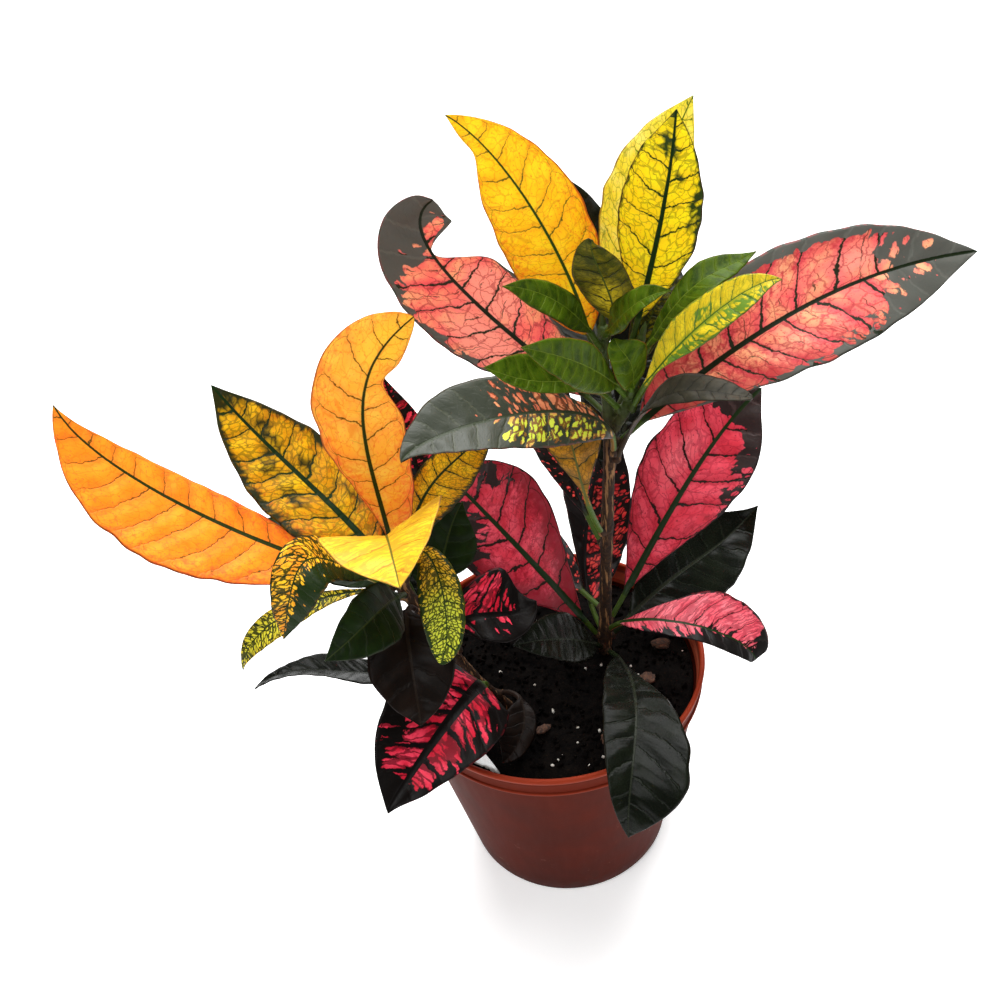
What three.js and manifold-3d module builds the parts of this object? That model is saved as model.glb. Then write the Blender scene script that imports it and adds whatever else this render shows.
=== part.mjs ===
import * as THREE from "three";
import { mergeVertices } from "three/addons/utils/BufferGeometryUtils.js";
import Module from "manifold-3d";

// A croton in its nursery pot. Millimetres, +Z up, origin on the floor under the pot's axis.
// Seen from the front, from -Y, the tall plant stands right of the axis and the small one left.

// The pot
const POT_HEIGHT = 116;
const RIM_RADIUS = 70;
const BASE_RADIUS = 49;
const POT_WALL = 1.6;
const RIM_BAND = 11;
const RIM_STEP = 1.8;
const FLOOR_THICKNESS = 2.2;
const DRAIN_COUNT = 8;
const DRAIN_RADIUS = 4.5;
const DRAIN_CIRCLE = 39;
const POT_SIDES = 56;

// The soil
const SOIL_LEVEL = 106;
const SOIL_RELIEF = 1.2;
const SOIL_SIDES = 40;
const SEAT_GAP = 0.3;

// The stems
const TALL_RADIUS = [2.9, 2.4];
const SHOOT_RADIUS = [2.3, 1.7];
const SIDE_RADIUS = [2.8, 2.2];
const STEM_SIDES = 12;
const ROOT_DEPTH = 14;

// The leaves
const BLADE_HALF = 0.35;
const RIB_DEPTH = 0.7;
const STALK_RADIUS = 1.2;
const STALK_LENGTH = 12;
const FOLD = 10;
const TIP_TAPER = 0.35;
const TIP_BLUNT = 0.8;
const EDGE_WAVE = 1.2;
const STATION_STEP = 13;
const CROWDING = 1.35;
const NOTCH_LENGTH = 0.08;
const FRAME_STEPS = 48;

// The plant label
const LABEL = { width: 12, height: 32, thickness: 0.8 };
const LABEL_AT = new THREE.Vector3(-36, -48, 105);
const LABEL_LEAN = [0.1, -0.4, -0.65];

// Each stem is the list of points that its axis runs through, from the soil up.
const STEMS = {
  tall: { axis: [[26, 8, 106], [28, 5, 150], [31, 2, 200], [34, 1, 238]], radius: TALL_RADIUS },
  left: { axis: [[34, 1, 238], [33, 3, 262], [34, 5, 286]], radius: SHOOT_RADIUS },
  right: { axis: [[34, 1, 238], [42, 4, 256], [49, 8, 277]], radius: SHOOT_RADIUS },
  front: { axis: [[34, 1, 238], [39, -4, 251], [43, -8, 266]], radius: SHOOT_RADIUS },
  side: { axis: [[-22, -18, 106], [-33, -21, 128], [-47, -24, 165], [-61, -25, 210]],
    radius: SIDE_RADIUS },
};

// A leaf's midrib starts on its stem at the height `at` and passes through three points, the last
// of which is its tip. `left` and `right` are each side's half width and where along the blade it
// is widest, seen from the stalk, and `roll` turns the blade about its length from level. `taper`
// draws the tip out, `blunt` rounds it, and `notch` bites into one side at a place, by a share.
const LEAVES = [
  // The yellow whorl at the top of the tall plant
  { name: "leaf_top_yellow", stem: "left", at: 270, look: "yellow",
    via: [[23, 12, 306], [7, 22, 341], [-13, 30, 364]], left: [18, 0.4], right: [18, 0.5],
    roll: 60, notch: ["left", 0.84, 0.45] },
  { name: "leaf_top_back", stem: "left", at: 260, look: "dark",
    via: [[35, 42, 276], [35, 62, 293], [28, 75, 316]], left: [22, 0.45], right: [15, 0.5],
    roll: 10 },
  { name: "leaf_top_pale", stem: "left", at: 280, look: "yellow",
    via: [[51, 28, 301], [64, 42, 325], [78, 50, 350]], left: [22, 0.5], right: [14, 0.47],
    roll: -50 },
  { name: "leaf_top_golden", stem: "right", at: 271, look: "gold",
    via: [[54, 14, 301], [62, 20, 330], [67, 26, 356]], left: [17, 0.56], right: [16, 0.52],
    roll: -23 },
  { name: "leaf_young_olive", stem: "left", at: 285, look: "olive",
    via: [[37, -1, 300], [32, -5, 318], [31, -7, 328]], left: [11, 0.5], right: [12, 0.53],
    roll: 177, stalk: 4, blunt: 0.5, taper: 0 },
  { name: "leaf_young_left", stem: "left", at: 278, look: "green",
    via: [[22, -8, 301], [10, -16, 316], [-2, -22, 324]], left: [8, 0.51], right: [6, 0.51],
    roll: 65 },
  { name: "leaf_young_right", stem: "left", at: 283, look: "green",
    via: [[39, -15, 302], [46, -21, 311], [54, -25, 315]], left: [7, 0.52], right: [6, 0.5],
    roll: -57, stalk: 6 },
  { name: "leaf_green_right", stem: "right", at: 265, look: "green",
    via: [[62, -1, 296], [77, 2, 304], [91, 5, 308]], left: [7, 0.6], right: [8, 0.5],
    roll: -22 },
  { name: "leaf_young_brown", stem: "right", at: 256, look: "olive",
    via: [[55, 18, 280], [63, 23, 287], [72, 27, 287]], left: [7, 0.5], right: [8, 0.5],
    roll: -29, stalk: 6 },
  { name: "leaf_bright_right", stem: "front", at: 258, look: "bright",
    via: [[56, -16, 284], [76, -22, 306], [91, -28, 315]], left: [10, 0.52], right: [10, 0.68],
    roll: -35 },
  { name: "leaf_green_left", stem: "front", at: 262, look: "green",
    via: [[27, -24, 286], [14, -34, 301], [1, -42, 312]], left: [10, 0.5], right: [8, 0.5],
    roll: 74 },
  { name: "leaf_green_low", stem: "front", at: 254, look: "green",
    via: [[22, -18, 278], [9, -26, 286], [-12, -34, 301]], left: [5, 0.52], right: [10, 0.66],
    roll: 53 },
  { name: "leaf_young_tip", stem: "front", at: 265, look: "green",
    via: [[41, -16, 280], [38, -16, 287], [36, -11, 290]], left: [9, 0.5], right: [9, 0.5],
    roll: 60, stalk: 4, blunt: 0.6 },

  // The coral and grey leaves round the fork
  { name: "leaf_coral_right", stem: "tall", at: 234, look: "coral",
    via: [[83, 2, 269], [128, 6, 288], [176, 10, 292]], left: [26, 0.46], right: [24, 0.56],
    roll: -48 },
  { name: "leaf_grey_right", stem: "tall", at: 228, look: "dark",
    via: [[50, -13, 261], [66, -23, 270], [82, -30, 269]], left: [8.5, 0.62], right: [7, 0.5],
    roll: -7, blunt: 0.4 },
  { name: "leaf_coral_left", stem: "left", at: 246, look: "coral",
    via: [[8, 28, 264], [-22, 34, 303], [-22, 29, 334]], left: [23, 0.57], right: [20, 0.46],
    roll: 66, taper: 0, blunt: 0.27, notch: ["right", 0.77, 0.98, 0.08] },
  { name: "leaf_grey_left", stem: "tall", at: 232, look: "peach",
    via: [[17, -16, 264], [-21, -32, 276], [-45, -46, 275]], left: [17, 0.44], right: [17, 0.65],
    roll: 29 },
  { name: "leaf_ochre", stem: "tall", at: 188, look: "ochre",
    via: [[21, -4, 216], [18, 3, 237], [13, 8, 255]], left: [11, 0.7], right: [15, 0.7],
    roll: 67, stalk: 22 },

  // Leaves on the far side of the tall plant
  { name: "leaf_back_high", stem: "tall", at: 222, look: "deep",
    via: [[50, 30, 240], [64, 56, 262], [74, 80, 268]], left: [17, 0.55], right: [15, 0.5],
    roll: -20 },
  { name: "leaf_back_left", stem: "tall", at: 176, look: "black_coral",
    via: [[15, 34, 210], [7, 60, 238], [-1, 84, 250]], left: [13, 0.55], right: [13, 0.55],
    roll: 15 },
  { name: "leaf_back_middle", stem: "tall", at: 196, look: "dark",
    via: [[36, 34, 212], [39, 62, 222], [41, 88, 214]], left: [11, 0.55], right: [10, 0.5],
    roll: -6 },
  { name: "leaf_back_low", stem: "tall", at: 134, look: "black_coral",
    via: [[10, 30, 140], [-6, 50, 144], [-22, 72, 134]], left: [14, 0.5], right: [15, 0.5],
    roll: 14 },

  // The low crimson and black leaves of the tall plant
  { name: "leaf_low_back", stem: "tall", at: 118, look: "black_coral",
    via: [[23, 40, 140], [32, 56, 171], [37, 66, 204]], left: [17, 0.72], right: [21, 0.42],
    roll: -3 },
  { name: "leaf_low_right", stem: "tall", at: 125, look: "pink",
    via: [[52, 26, 151], [80, 44, 183], [110, 58, 208]], left: [25, 0.6], right: [24, 0.64],
    roll: -33 },
  { name: "leaf_low_black", stem: "tall", at: 115, look: "dark",
    via: [[61, 28, 126], [88, 54, 118], [113, 66, 131]], left: [21, 0.5], right: [22, 0.46],
    roll: -32, taper: 0.6 },
  { name: "leaf_low_pink", stem: "tall", at: 126, look: "black_coral",
    via: [[47, -12, 143], [73, -20, 138], [88, -27, 125]], left: [19.5, 0.68], right: [9.5, 0.5],
    roll: -10, taper: 0, blunt: 0.22 },
  { name: "leaf_low_front", stem: "tall", at: 110, look: "dark",
    via: [[32, -42, 132], [25, -78, 133], [19, -96, 109]], left: [24, 0.72], right: [15, 0.47],
    roll: 11 },
  { name: "leaf_low_left", stem: "tall", at: 120, look: "pink",
    via: [[3, 4, 161], [-15, 12, 188], [-36, 18, 221]], left: [24, 0.64], right: [26, 0.67],
    roll: 47 },
  { name: "leaf_low_soil", stem: "tall", at: 113, look: "dark",
    via: [[13, -12, 137], [-1, -24, 153], [-16, -34, 163]], left: [12, 0.5], right: [12, 0.5],
    roll: 45 },

  // The small plant
  { name: "leaf_side_amber", stem: "side", at: 203, look: "amber",
    via: [[-98, -18, 217], [-144, -10, 252], [-169, -4, 291]], left: [27, 0.56],
    right: [11, 0.5], roll: 33 },
  { name: "leaf_side_golden", stem: "side", at: 207, look: "gold",
    via: [[-79, -6, 227], [-99, 8, 249], [-117, 18, 276]], left: [21, 0.43], right: [19, 0.4],
    roll: 31, stalk: 6 },
  { name: "leaf_side_orange", stem: "side", at: 209, look: "amber",
    via: [[-59, -20, 253], [-56, -12, 284], [-34, -8, 309]], left: [21, 0.7], right: [16, 0.42],
    roll: -64, stalk: 6, taper: 0, blunt: 0.6, notch: ["right", 0.72, 0.5] },
  { name: "leaf_side_crimson", stem: "side", at: 196, look: "black_coral",
    via: [[-45, 4, 215], [-46, 12, 240], [-51, 18, 268]], left: [15, 0.5], right: [11, 0.5],
    roll: -9 },
  { name: "leaf_side_inner", stem: "side", at: 202, look: "gold",
    via: [[-43, -16, 232], [-29, -13, 246], [-12, -10, 259]], left: [8, 0.5], right: [13, 0.5],
    roll: -54 },
  { name: "leaf_side_bright", stem: "side", at: 209, look: "bright",
    via: [[-56, -44, 241], [-53, -64, 252], [-50, -86, 254]], left: [25, 0.44], right: [24, 0.52],
    roll: -8, blunt: 0.75, fold: 18 },
  { name: "leaf_side_streaked", stem: "side", at: 200, look: "streaked",
    via: [[-79, -40, 229], [-88, -54, 240], [-99, -62, 214]], left: [13, 0.52], right: [10, 0.49],
    roll: 34 },
  { name: "leaf_side_small", stem: "side", at: 192, look: "streaked",
    via: [[-83, -28, 200], [-109, -36, 197], [-124, -42, 180]], left: [7, 0.6], right: [5, 0.6],
    roll: 31 },
  { name: "leaf_side_grey", stem: "side", at: 172, look: "dark",
    via: [[-71, -32, 156], [-95, -38, 169], [-122, -42, 168]], left: [13, 0.4],
    right: [12, 0.42], roll: -20 },
  { name: "leaf_side_green", stem: "side", at: 195, look: "deep",
    via: [[-61, -50, 212], [-69, -66, 218], [-83, -78, 216]], left: [13, 0.5], right: [11, 0.5],
    roll: 52 },
  { name: "leaf_side_brown", stem: "side", at: 184, look: "dark",
    via: [[-56, -40, 192], [-56, -58, 180], [-56, -70, 164]], left: [18, 0.48], right: [18, 0.43],
    roll: 8 },
  { name: "leaf_side_hanging", stem: "side", at: 200, look: "streaked",
    via: [[-43, -36, 221], [-39, -54, 210], [-44, -66, 193]], left: [8, 0.6], right: [10, 0.6],
    roll: -11, taper: 0.1, blunt: 0.5 },
  { name: "leaf_side_dark", stem: "side", at: 186, look: "deep",
    via: [[-42, -16, 194], [-36, -10, 206], [-28, -6, 220]], left: [11, 0.55], right: [14, 0.42],
    roll: -32 },
  { name: "leaf_side_back", stem: "side", at: 178, look: "deep",
    via: [[-64, 6, 200], [-76, 34, 216], [-84, 58, 216]], left: [14, 0.5], right: [14, 0.5],
    roll: 20 },
  { name: "leaf_side_far", stem: "side", at: 170, look: "deep",
    via: [[-49, 6, 192], [-46, 32, 200], [-46, 58, 194]], left: [12, 0.5], right: [13, 0.55],
    roll: -10 },
  { name: "leaf_side_deep", stem: "side", at: 152, look: "dark",
    via: [[-50, 8, 160], [-60, 34, 169], [-72, 58, 166]], left: [11, 0.5], right: [12, 0.55],
    roll: 14 },
  { name: "leaf_side_behind", stem: "side", at: 198, look: "dark",
    via: [[-83, 2, 187], [-99, 14, 199], [-115, 24, 200]], left: [11, 0.5], right: [6, 0.5],
    roll: 16 },
  { name: "leaf_side_inward", stem: "side", at: 154, look: "black_crimson",
    via: [[-33, -27, 175], [-18, -25, 173], [-4, -22, 175]], left: [20, 0.58], right: [13, 0.56],
    roll: -39 },
  { name: "leaf_side_front", stem: "side", at: 128, look: "black_crimson",
    via: [[-40, -46, 146], [-60, -72, 144], [-74, -88, 136]], left: [22, 0.3], right: [28, 0.44],
    roll: 31, blunt: 0.75, taper: 0.5 },
  { name: "leaf_side_low", stem: "side", at: 118, look: "dark",
    via: [[-16, -30, 122], [-18, -44, 118], [-28, -53, 112]], left: [6, 0.5], right: [12, 0.5],
    roll: 17 },
];

const LOOKS = {
  yellow: { color: 0xe6b42e, roughness: 0.55 },
  gold: { color: 0xb88a1c, roughness: 0.5 },
  bright: { color: 0xe3cc2a, roughness: 0.5 },
  green: { color: 0x4c5f26, roughness: 0.5 },
  olive: { color: 0x5e4a1c, roughness: 0.45 },
  ochre: { color: 0x8c6a1c, roughness: 0.5 },
  coral: { color: 0xd9706a, roughness: 0.5 },
  peach: { color: 0x6d6250, roughness: 0.45 },
  pink: { color: 0xa83446, roughness: 0.45 },
  black_coral: { color: 0x5a2226, roughness: 0.4 },
  black_crimson: { color: 0x4a141c, roughness: 0.4 },
  amber: { color: 0xe08c34, roughness: 0.55 },
  streaked: { color: 0x6e6a20, roughness: 0.45 },
  deep: { color: 0x22301c, roughness: 0.4 },
  dark: { color: 0x1c211c, roughness: 0.35 },
  pot: { color: 0x9c4a38, roughness: 0.55 },
  soil: { color: 0x241a14, roughness: 0.95 },
  stem: { color: 0x453520, roughness: 0.8 },
  label: { color: 0xe9ecec, roughness: 0.4 },
};

const UP = new THREE.Vector3(0, 0, 1);
const wasm = await Module();
wasm.setup();

function material(look) {
  return new THREE.MeshStandardMaterial({ ...LOOKS[look], metalness: 0 });
}

function mesh(name, geometry, look) {
  const part = new THREE.Mesh(geometry, material(look));
  part.name = name;
  return part;
}

function solid(geometry) {
  const bare = geometry.index ? geometry.toNonIndexed() : geometry.clone();
  for (const name of Object.keys(bare.attributes)) {
    if (name !== "position") bare.deleteAttribute(name);
  }
  const joined = mergeVertices(bare, 1e-4);
  return new wasm.Manifold(new wasm.Mesh({
    numProp: 3,
    vertProperties: new Float32Array(joined.attributes.position.array),
    triVerts: new Uint32Array(joined.index.array),
  }));
}

function geometryOf(manifold) {
  const result = manifold.getMesh();
  const geometry = new THREE.BufferGeometry();
  geometry.setAttribute("position", new THREE.BufferAttribute(result.vertProperties, 3));
  geometry.setIndex(new THREE.BufferAttribute(result.triVerts, 1));
  return geometry;
}

// A closed solid through loops of points that all have the same number of points. Where `mirror`
// is set, the second half of each loop is cut into the same triangles as the first half.
function loft(loops, mirror = false) {
  const size = loops[0].length;
  const points = loops.flat();
  const faces = [];
  for (let s = 0; s < loops.length - 1; s += 1) {
    for (let k = 0; k < size; k += 1) {
      const a = s * size + k;
      const b = s * size + ((k + 1) % size);
      const c = a + size;
      const d = b + size;
      if (mirror && k >= size / 2) {
        faces.push(a, b, c, b, d, c);
      } else {
        faces.push(a, b, d, a, d, c);
      }
    }
  }
  for (const [first, turned] of [[0, true], [(loops.length - 1) * size, false]]) {
    for (let k = 0; k < size / 2 - 1; k += 1) {
      const a = first + k;
      const b = first + k + 1;
      const c = first + size - 1 - k;
      const d = first + size - 2 - k;
      for (const [p, q, r] of [[a, b, d], [a, d, c]]) {
        if (turned) faces.push(p, r, q);
        else faces.push(p, q, r);
      }
    }
  }
  const geometry = new THREE.BufferGeometry();
  const array = points.flatMap((p) => [p.x, p.y, p.z]);
  geometry.setAttribute("position", new THREE.Float32BufferAttribute(array, 3));
  geometry.setIndex(faces);
  return geometry;
}

function vector([x, y, z]) {
  return new THREE.Vector3(x, y, z);
}

// The axis point, the direction and the radius of a stem at a height
function stemAt(name, height) {
  const { axis, radius } = STEMS[name];
  const last = axis.length - 2;
  let i = 0;
  while (i < last && height > axis[i + 1][2]) i += 1;
  const a = vector(axis[i]);
  const b = vector(axis[i + 1]);
  const t = (height - a.z) / (b.z - a.z);
  const whole = (height - axis[0][2]) / (axis[last + 1][2] - axis[0][2]);
  return {
    point: a.clone().lerp(b, t),
    along: b.clone().sub(a).normalize(),
    radius: THREE.MathUtils.lerp(radius[0], radius[1], THREE.MathUtils.clamp(whole, 0, 1)),
  };
}

// The cubic curve from `start` through two points at its thirds to its end
function curveThrough(start, [third, second, end]) {
  const mix = (a, b, c, d) => new THREE.Vector3()
    .addScaledVector(start, a / 6)
    .addScaledVector(third, b / 6)
    .addScaledVector(second, c / 6)
    .addScaledVector(end, d / 6);
  return new THREE.CubicBezierCurve3(start, mix(-5, 18, -9, 2), mix(2, -9, 18, -5), end);
}

// A stalk starts just clear of the bark, on the side of the stem that it leaves from.
function midrib(leaf) {
  const via = leaf.via.map(vector);
  const { point, along, radius } = stemAt(leaf.stem, leaf.at);
  const first = curveThrough(point, via).getTangent(0);
  const lean = Math.abs(first.dot(along));
  const side = first.clone().addScaledVector(along, -first.dot(along)).normalize();
  const start = point.addScaledVector(side, radius + SEAT_GAP + STALK_RADIUS * lean);
  return curveThrough(start, via);
}

// The blade's direction and side vectors along the curve, turned as little as they can be
function frames(curve, roll) {
  const chord = curve.v3.clone().sub(curve.v0).normalize();
  const level = new THREE.Vector3().crossVectors(chord, UP).normalize();
  const side = level.clone().applyAxisAngle(chord, -THREE.MathUtils.degToRad(roll));
  const along = [];
  for (let i = 0; i <= FRAME_STEPS; i += 1) along.push(curve.getTangentAt(i / FRAME_STEPS));
  const sides = new Array(FRAME_STEPS + 1);
  const square = (v, t) => v.clone().addScaledVector(t, -v.dot(t)).normalize();
  const middle = FRAME_STEPS / 2;
  sides[middle] = square(side, along[middle]);
  for (let i = middle + 1; i <= FRAME_STEPS; i += 1) sides[i] = square(sides[i - 1], along[i]);
  for (let i = middle - 1; i >= 0; i -= 1) sides[i] = square(sides[i + 1], along[i]);
  return (u) => {
    const i = Math.min(Math.floor(u * FRAME_STEPS), FRAME_STEPS - 1);
    const side = sides[i].clone().lerp(sides[i + 1], u * FRAME_STEPS - i);
    const tangent = curve.getTangentAt(u);
    const across = square(side, tangent);
    return { across, normal: new THREE.Vector3().crossVectors(across, tangent) };
  };
}

// The half width of a leaf's side at `b` along the blade, from 0 at the stalk to 1 at the tip
function halfWidth(leaf, side, b) {
  const { taper = TIP_TAPER, blunt = TIP_BLUNT, notch } = leaf;
  const [most, widest] = leaf[side];
  const arc = Math.max(Math.sin(Math.PI * b ** (Math.log(0.5) / Math.log(widest))), 0);
  const body = arc ** (b < widest ? TIP_BLUNT : blunt);
  const end = THREE.MathUtils.clamp((b - 0.8) / 0.2, 0, 1);
  const [bitten, place, share, long = NOTCH_LENGTH] = notch ?? [];
  const bite = bitten === side ? share * Math.exp(-(((b - place) / long) ** 2)) : 0;
  return most * body * (1 - taper * end * end) * (1 - bite);
}

function leafGeometry(leaf, index) {
  const { fold = FOLD } = leaf;
  const curve = midrib(leaf);
  const length = curve.getLength();
  const stalk = Math.min(leaf.stalk ?? STALK_LENGTH, 0.3 * length) / length;
  const frame = frames(curve, leaf.roll);
  const rise = Math.tan(THREE.MathUtils.degToRad(fold));
  const steps = THREE.MathUtils.clamp(Math.round(length / STATION_STEP), 6, 10);
  const stations = [0];
  for (let i = 0; i <= steps; i += 1) stations.push(1 - (1 - stalk) * (1 - i / steps) ** CROWDING);
  const spread = [-1, -0.5, 0, 0.5, 1];
  const loops = stations.map((u) => {
    const b = THREE.MathUtils.clamp((u - stalk) / (1 - stalk), 0, 1);
    const { across, normal } = frame(u);
    const centre = curve.getPointAt(u);
    const blade = THREE.MathUtils.smoothstep(b, 0, 0.12);
    const place = (v, face) => {
      const least = b > 0.5 ? 0.5 : STALK_RADIUS;
      const half = Math.max(halfWidth(leaf, v < 0 ? "left" : "right", b), least);
      const wave = EDGE_WAVE * Math.sin(9 * b + 2.1 * index + Math.sign(v)) * v * v;
      const lift = blade * (Math.abs(v) * half * rise + wave * Math.sin(Math.PI * b));
      const round = STALK_RADIUS * Math.sqrt(Math.max(1 - v * v, 0.08));
      const rib = face < 0 && v === 0 ? RIB_DEPTH * (1 - b) : 0;
      const depth = THREE.MathUtils.lerp(round, BLADE_HALF + rib, blade);
      return centre.clone()
        .addScaledVector(across, v * half)
        .addScaledVector(normal, lift + face * depth);
    };
    return [...spread.map((v) => place(v, 1)), ...spread.toReversed().map((v) => place(v, -1))];
  });
  return loft(loops, true);
}

// Points round a stem's axis
function ring(centre, along, radius, sides) {
  const u = new THREE.Vector3().crossVectors(along, new THREE.Vector3(0, 1, 0)).normalize();
  const v = new THREE.Vector3().crossVectors(along, u);
  const points = [];
  for (let k = 0; k < sides; k += 1) {
    const angle = (2 * Math.PI * k) / sides;
    points.push(centre.clone()
      .addScaledVector(u, radius * Math.cos(angle))
      .addScaledVector(v, radius * Math.sin(angle)));
  }
  return points;
}

// A stem of one stretch, grown by `extra` all round and longer by `below` at its foot
function stemGeometry(name, below, extra = 0) {
  const { axis, radius } = STEMS[name];
  const points = axis.map(vector);
  const down = points[0].clone().sub(points[1]).normalize();
  points[0].addScaledVector(down, below);
  const loops = points.map((p, i) => {
    const next = points[Math.min(i + 1, points.length - 1)];
    const before = points[Math.max(i - 1, 0)];
    const along = next.clone().sub(before).normalize();
    const share = i / (points.length - 1);
    return ring(p, along, THREE.MathUtils.lerp(radius[0], radius[1], share) + extra, STEM_SIDES);
  });
  return loft(loops);
}

function tallStem() {
  return solid(stemGeometry("tall", ROOT_DEPTH))
    .add(solid(stemGeometry("left", 2)))
    .add(solid(stemGeometry("right", 2)))
    .add(solid(stemGeometry("front", 2)));
}

// A pot wall's radius at a height, inside the rim band or below it
function wallRadius(z) {
  const under = RIM_RADIUS - RIM_STEP - 1;
  return THREE.MathUtils.lerp(BASE_RADIUS, under, z / (POT_HEIGHT - RIM_BAND));
}

function potProfile() {
  const band = POT_HEIGHT - RIM_BAND;
  const inner = (z) => wallRadius(z) - POT_WALL;
  return [
    [0, 0],
    [BASE_RADIUS - 2.5, 0],
    [BASE_RADIUS - 0.6, 0.8],
    [wallRadius(3), 3],
    [wallRadius(band - 0.8), band - 0.8],
    [RIM_RADIUS - 1.6, band],
    [RIM_RADIUS - 0.5, POT_HEIGHT - 3],
    [RIM_RADIUS, POT_HEIGHT - 2],
    [RIM_RADIUS - 0.3, POT_HEIGHT - 0.5],
    [RIM_RADIUS - 1.2, POT_HEIGHT],
    [RIM_RADIUS - 2.4, POT_HEIGHT - 0.4],
    [RIM_RADIUS - RIM_STEP - 1.2, band + 1],
    [inner(band - 2), band - 2],
    [inner(FLOOR_THICKNESS), FLOOR_THICKNESS],
    [0, FLOOR_THICKNESS],
  ].map(([r, z]) => new THREE.Vector2(r, z));
}

function upright(geometry) {
  return geometry.rotateX(Math.PI / 2);
}

function potGeometry() {
  let pot = solid(upright(new THREE.LatheGeometry(potProfile(), POT_SIDES)));
  for (let i = 0; i < DRAIN_COUNT; i += 1) {
    const angle = (2 * Math.PI * (i + 0.5)) / DRAIN_COUNT;
    const hole = upright(new THREE.CylinderGeometry(DRAIN_RADIUS, DRAIN_RADIUS, 12, 14));
    hole.translate(DRAIN_CIRCLE * Math.cos(angle), DRAIN_CIRCLE * Math.sin(angle), 0);
    pot = pot.subtract(solid(hole));
  }
  return geometryOf(pot);
}

// The soil's height: low waves, a dip towards the rim
function soilHeight(x, y) {
  const swell = Math.sin(0.11 * x + 1.3) * Math.cos(0.13 * y + 0.4);
  const ripple = 0.5 * Math.sin(0.22 * x + 0.27 * y);
  const edge = THREE.MathUtils.smoothstep(Math.hypot(x, y), 48, 66);
  return SOIL_LEVEL + SOIL_RELIEF * (swell + ripple) - 1.5 * edge;
}

function soilGeometry() {
  const band = POT_HEIGHT - RIM_BAND;
  const fill = (z) => wallRadius(z) - POT_WALL - SEAT_GAP - 0.15;
  const top = SOIL_LEVEL - 3;
  const bottom = FLOOR_THICKNESS + SEAT_GAP;
  const profile = [[0, bottom], [fill(FLOOR_THICKNESS), bottom], [fill(top), top]];
  for (const share of [0.985, 0.85, 0.68, 0.5, 0.3, 0]) {
    profile.push([fill(band - 2) * share, SOIL_LEVEL]);
  }
  const points = profile.map(([r, z]) => new THREE.Vector2(r, z));
  const geometry = upright(new THREE.LatheGeometry(points, SOIL_SIDES));
  const place = geometry.attributes.position;
  for (let i = 0; i < place.count; i += 1) {
    if (place.getZ(i) > top + 1) place.setZ(i, soilHeight(place.getX(i), place.getY(i)));
  }
  let soil = solid(geometry);
  soil = soil.subtract(solid(stemGeometry("tall", ROOT_DEPTH + SEAT_GAP, SEAT_GAP)));
  soil = soil.subtract(solid(stemGeometry("side", ROOT_DEPTH + SEAT_GAP, SEAT_GAP)));
  soil = soil.subtract(solid(labelGeometry(2 * SEAT_GAP)));
  return geometryOf(soil);
}

// A flat strip pushed into the soil beside the rim
function labelGeometry(extra = 0) {
  const { width, height, thickness } = LABEL;
  const box = new THREE.BoxGeometry(width + extra, thickness + extra, height + extra);
  const [x, y, z] = LABEL_LEAN;
  box.rotateX(x).rotateY(y).rotateZ(z);
  return box.translate(LABEL_AT.x, LABEL_AT.y, LABEL_AT.z);
}

const plant = new THREE.Group();
plant.add(mesh("pot", potGeometry(), "pot"));
plant.add(mesh("soil", soilGeometry(), "soil"));
plant.add(mesh("stem_tall", geometryOf(tallStem()), "stem"));
plant.add(mesh("stem_side", stemGeometry("side", ROOT_DEPTH), "stem"));
plant.add(mesh("plant_label", labelGeometry(), "label"));
LEAVES.forEach((leaf, index) => plant.add(mesh(leaf.name, leafGeometry(leaf, index), leaf.look)));

export default plant;
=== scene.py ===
"""A croton in its nursery pot: the looks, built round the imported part.

Metres, +Z up, origin on the floor under the pot's axis. The camera looks from -Y. Lengths of the
plant are named in millimetres, as the part's own source has them, and MM turns them into metres.
"""

import math
import random

import bmesh
import bpy
from mathutils import Euler, Matrix, Vector, noise


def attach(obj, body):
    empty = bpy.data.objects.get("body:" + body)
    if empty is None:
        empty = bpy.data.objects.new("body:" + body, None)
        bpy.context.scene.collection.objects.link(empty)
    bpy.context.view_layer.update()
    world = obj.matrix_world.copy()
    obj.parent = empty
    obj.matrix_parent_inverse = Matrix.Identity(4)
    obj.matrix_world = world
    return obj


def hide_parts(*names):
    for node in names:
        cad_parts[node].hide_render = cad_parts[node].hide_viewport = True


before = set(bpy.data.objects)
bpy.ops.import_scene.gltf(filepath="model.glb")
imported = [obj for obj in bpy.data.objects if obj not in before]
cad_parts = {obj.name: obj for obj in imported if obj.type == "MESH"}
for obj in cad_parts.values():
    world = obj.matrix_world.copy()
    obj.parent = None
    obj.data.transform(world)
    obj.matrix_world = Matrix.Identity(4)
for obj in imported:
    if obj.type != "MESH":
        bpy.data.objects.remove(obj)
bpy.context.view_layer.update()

MM = 0.001
UP = Vector((0, 0, 1))

# Without a seed of its own, the vector noise would differ from run to run.
noise.seed_set(8)

# The camera that the photograph was taken with
CAMERA_TARGET = (-13, 116, 116)
CAMERA_DISTANCE = 641
CAMERA_PITCH = 40
CAMERA_ROLL = -8.1
CAMERA_LENS = 43.2

# The pot and the soil
POT_HEIGHT = 116
RIM_RADIUS = 70
BASE_RADIUS = 49
POT_WALL = 1.6
RIM_BAND = 11
RIM_STEP = 1.8
FLOOR_THICKNESS = 2.2
DRAIN_COUNT = 8
DRAIN_RADIUS = 4.5
DRAIN_CIRCLE = 39
DRILL_LENGTH = 12
POT_STEPS = 160
SOIL_LEVEL = 106
SOIL_RELIEF = 1.2
SOIL_STEPS = 220
SOIL_RINGS = 56
SEAT_GAP = 0.3
CRUMBS = 900
PERLITE = 44
BARK_CHIPS = [(41, -14, 0.9), (36, -17, 0.7), (-8, -34, 0.6), (52, 6, 0.7), (4, 22, 0.8), (18, -44, 0.5)]

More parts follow.
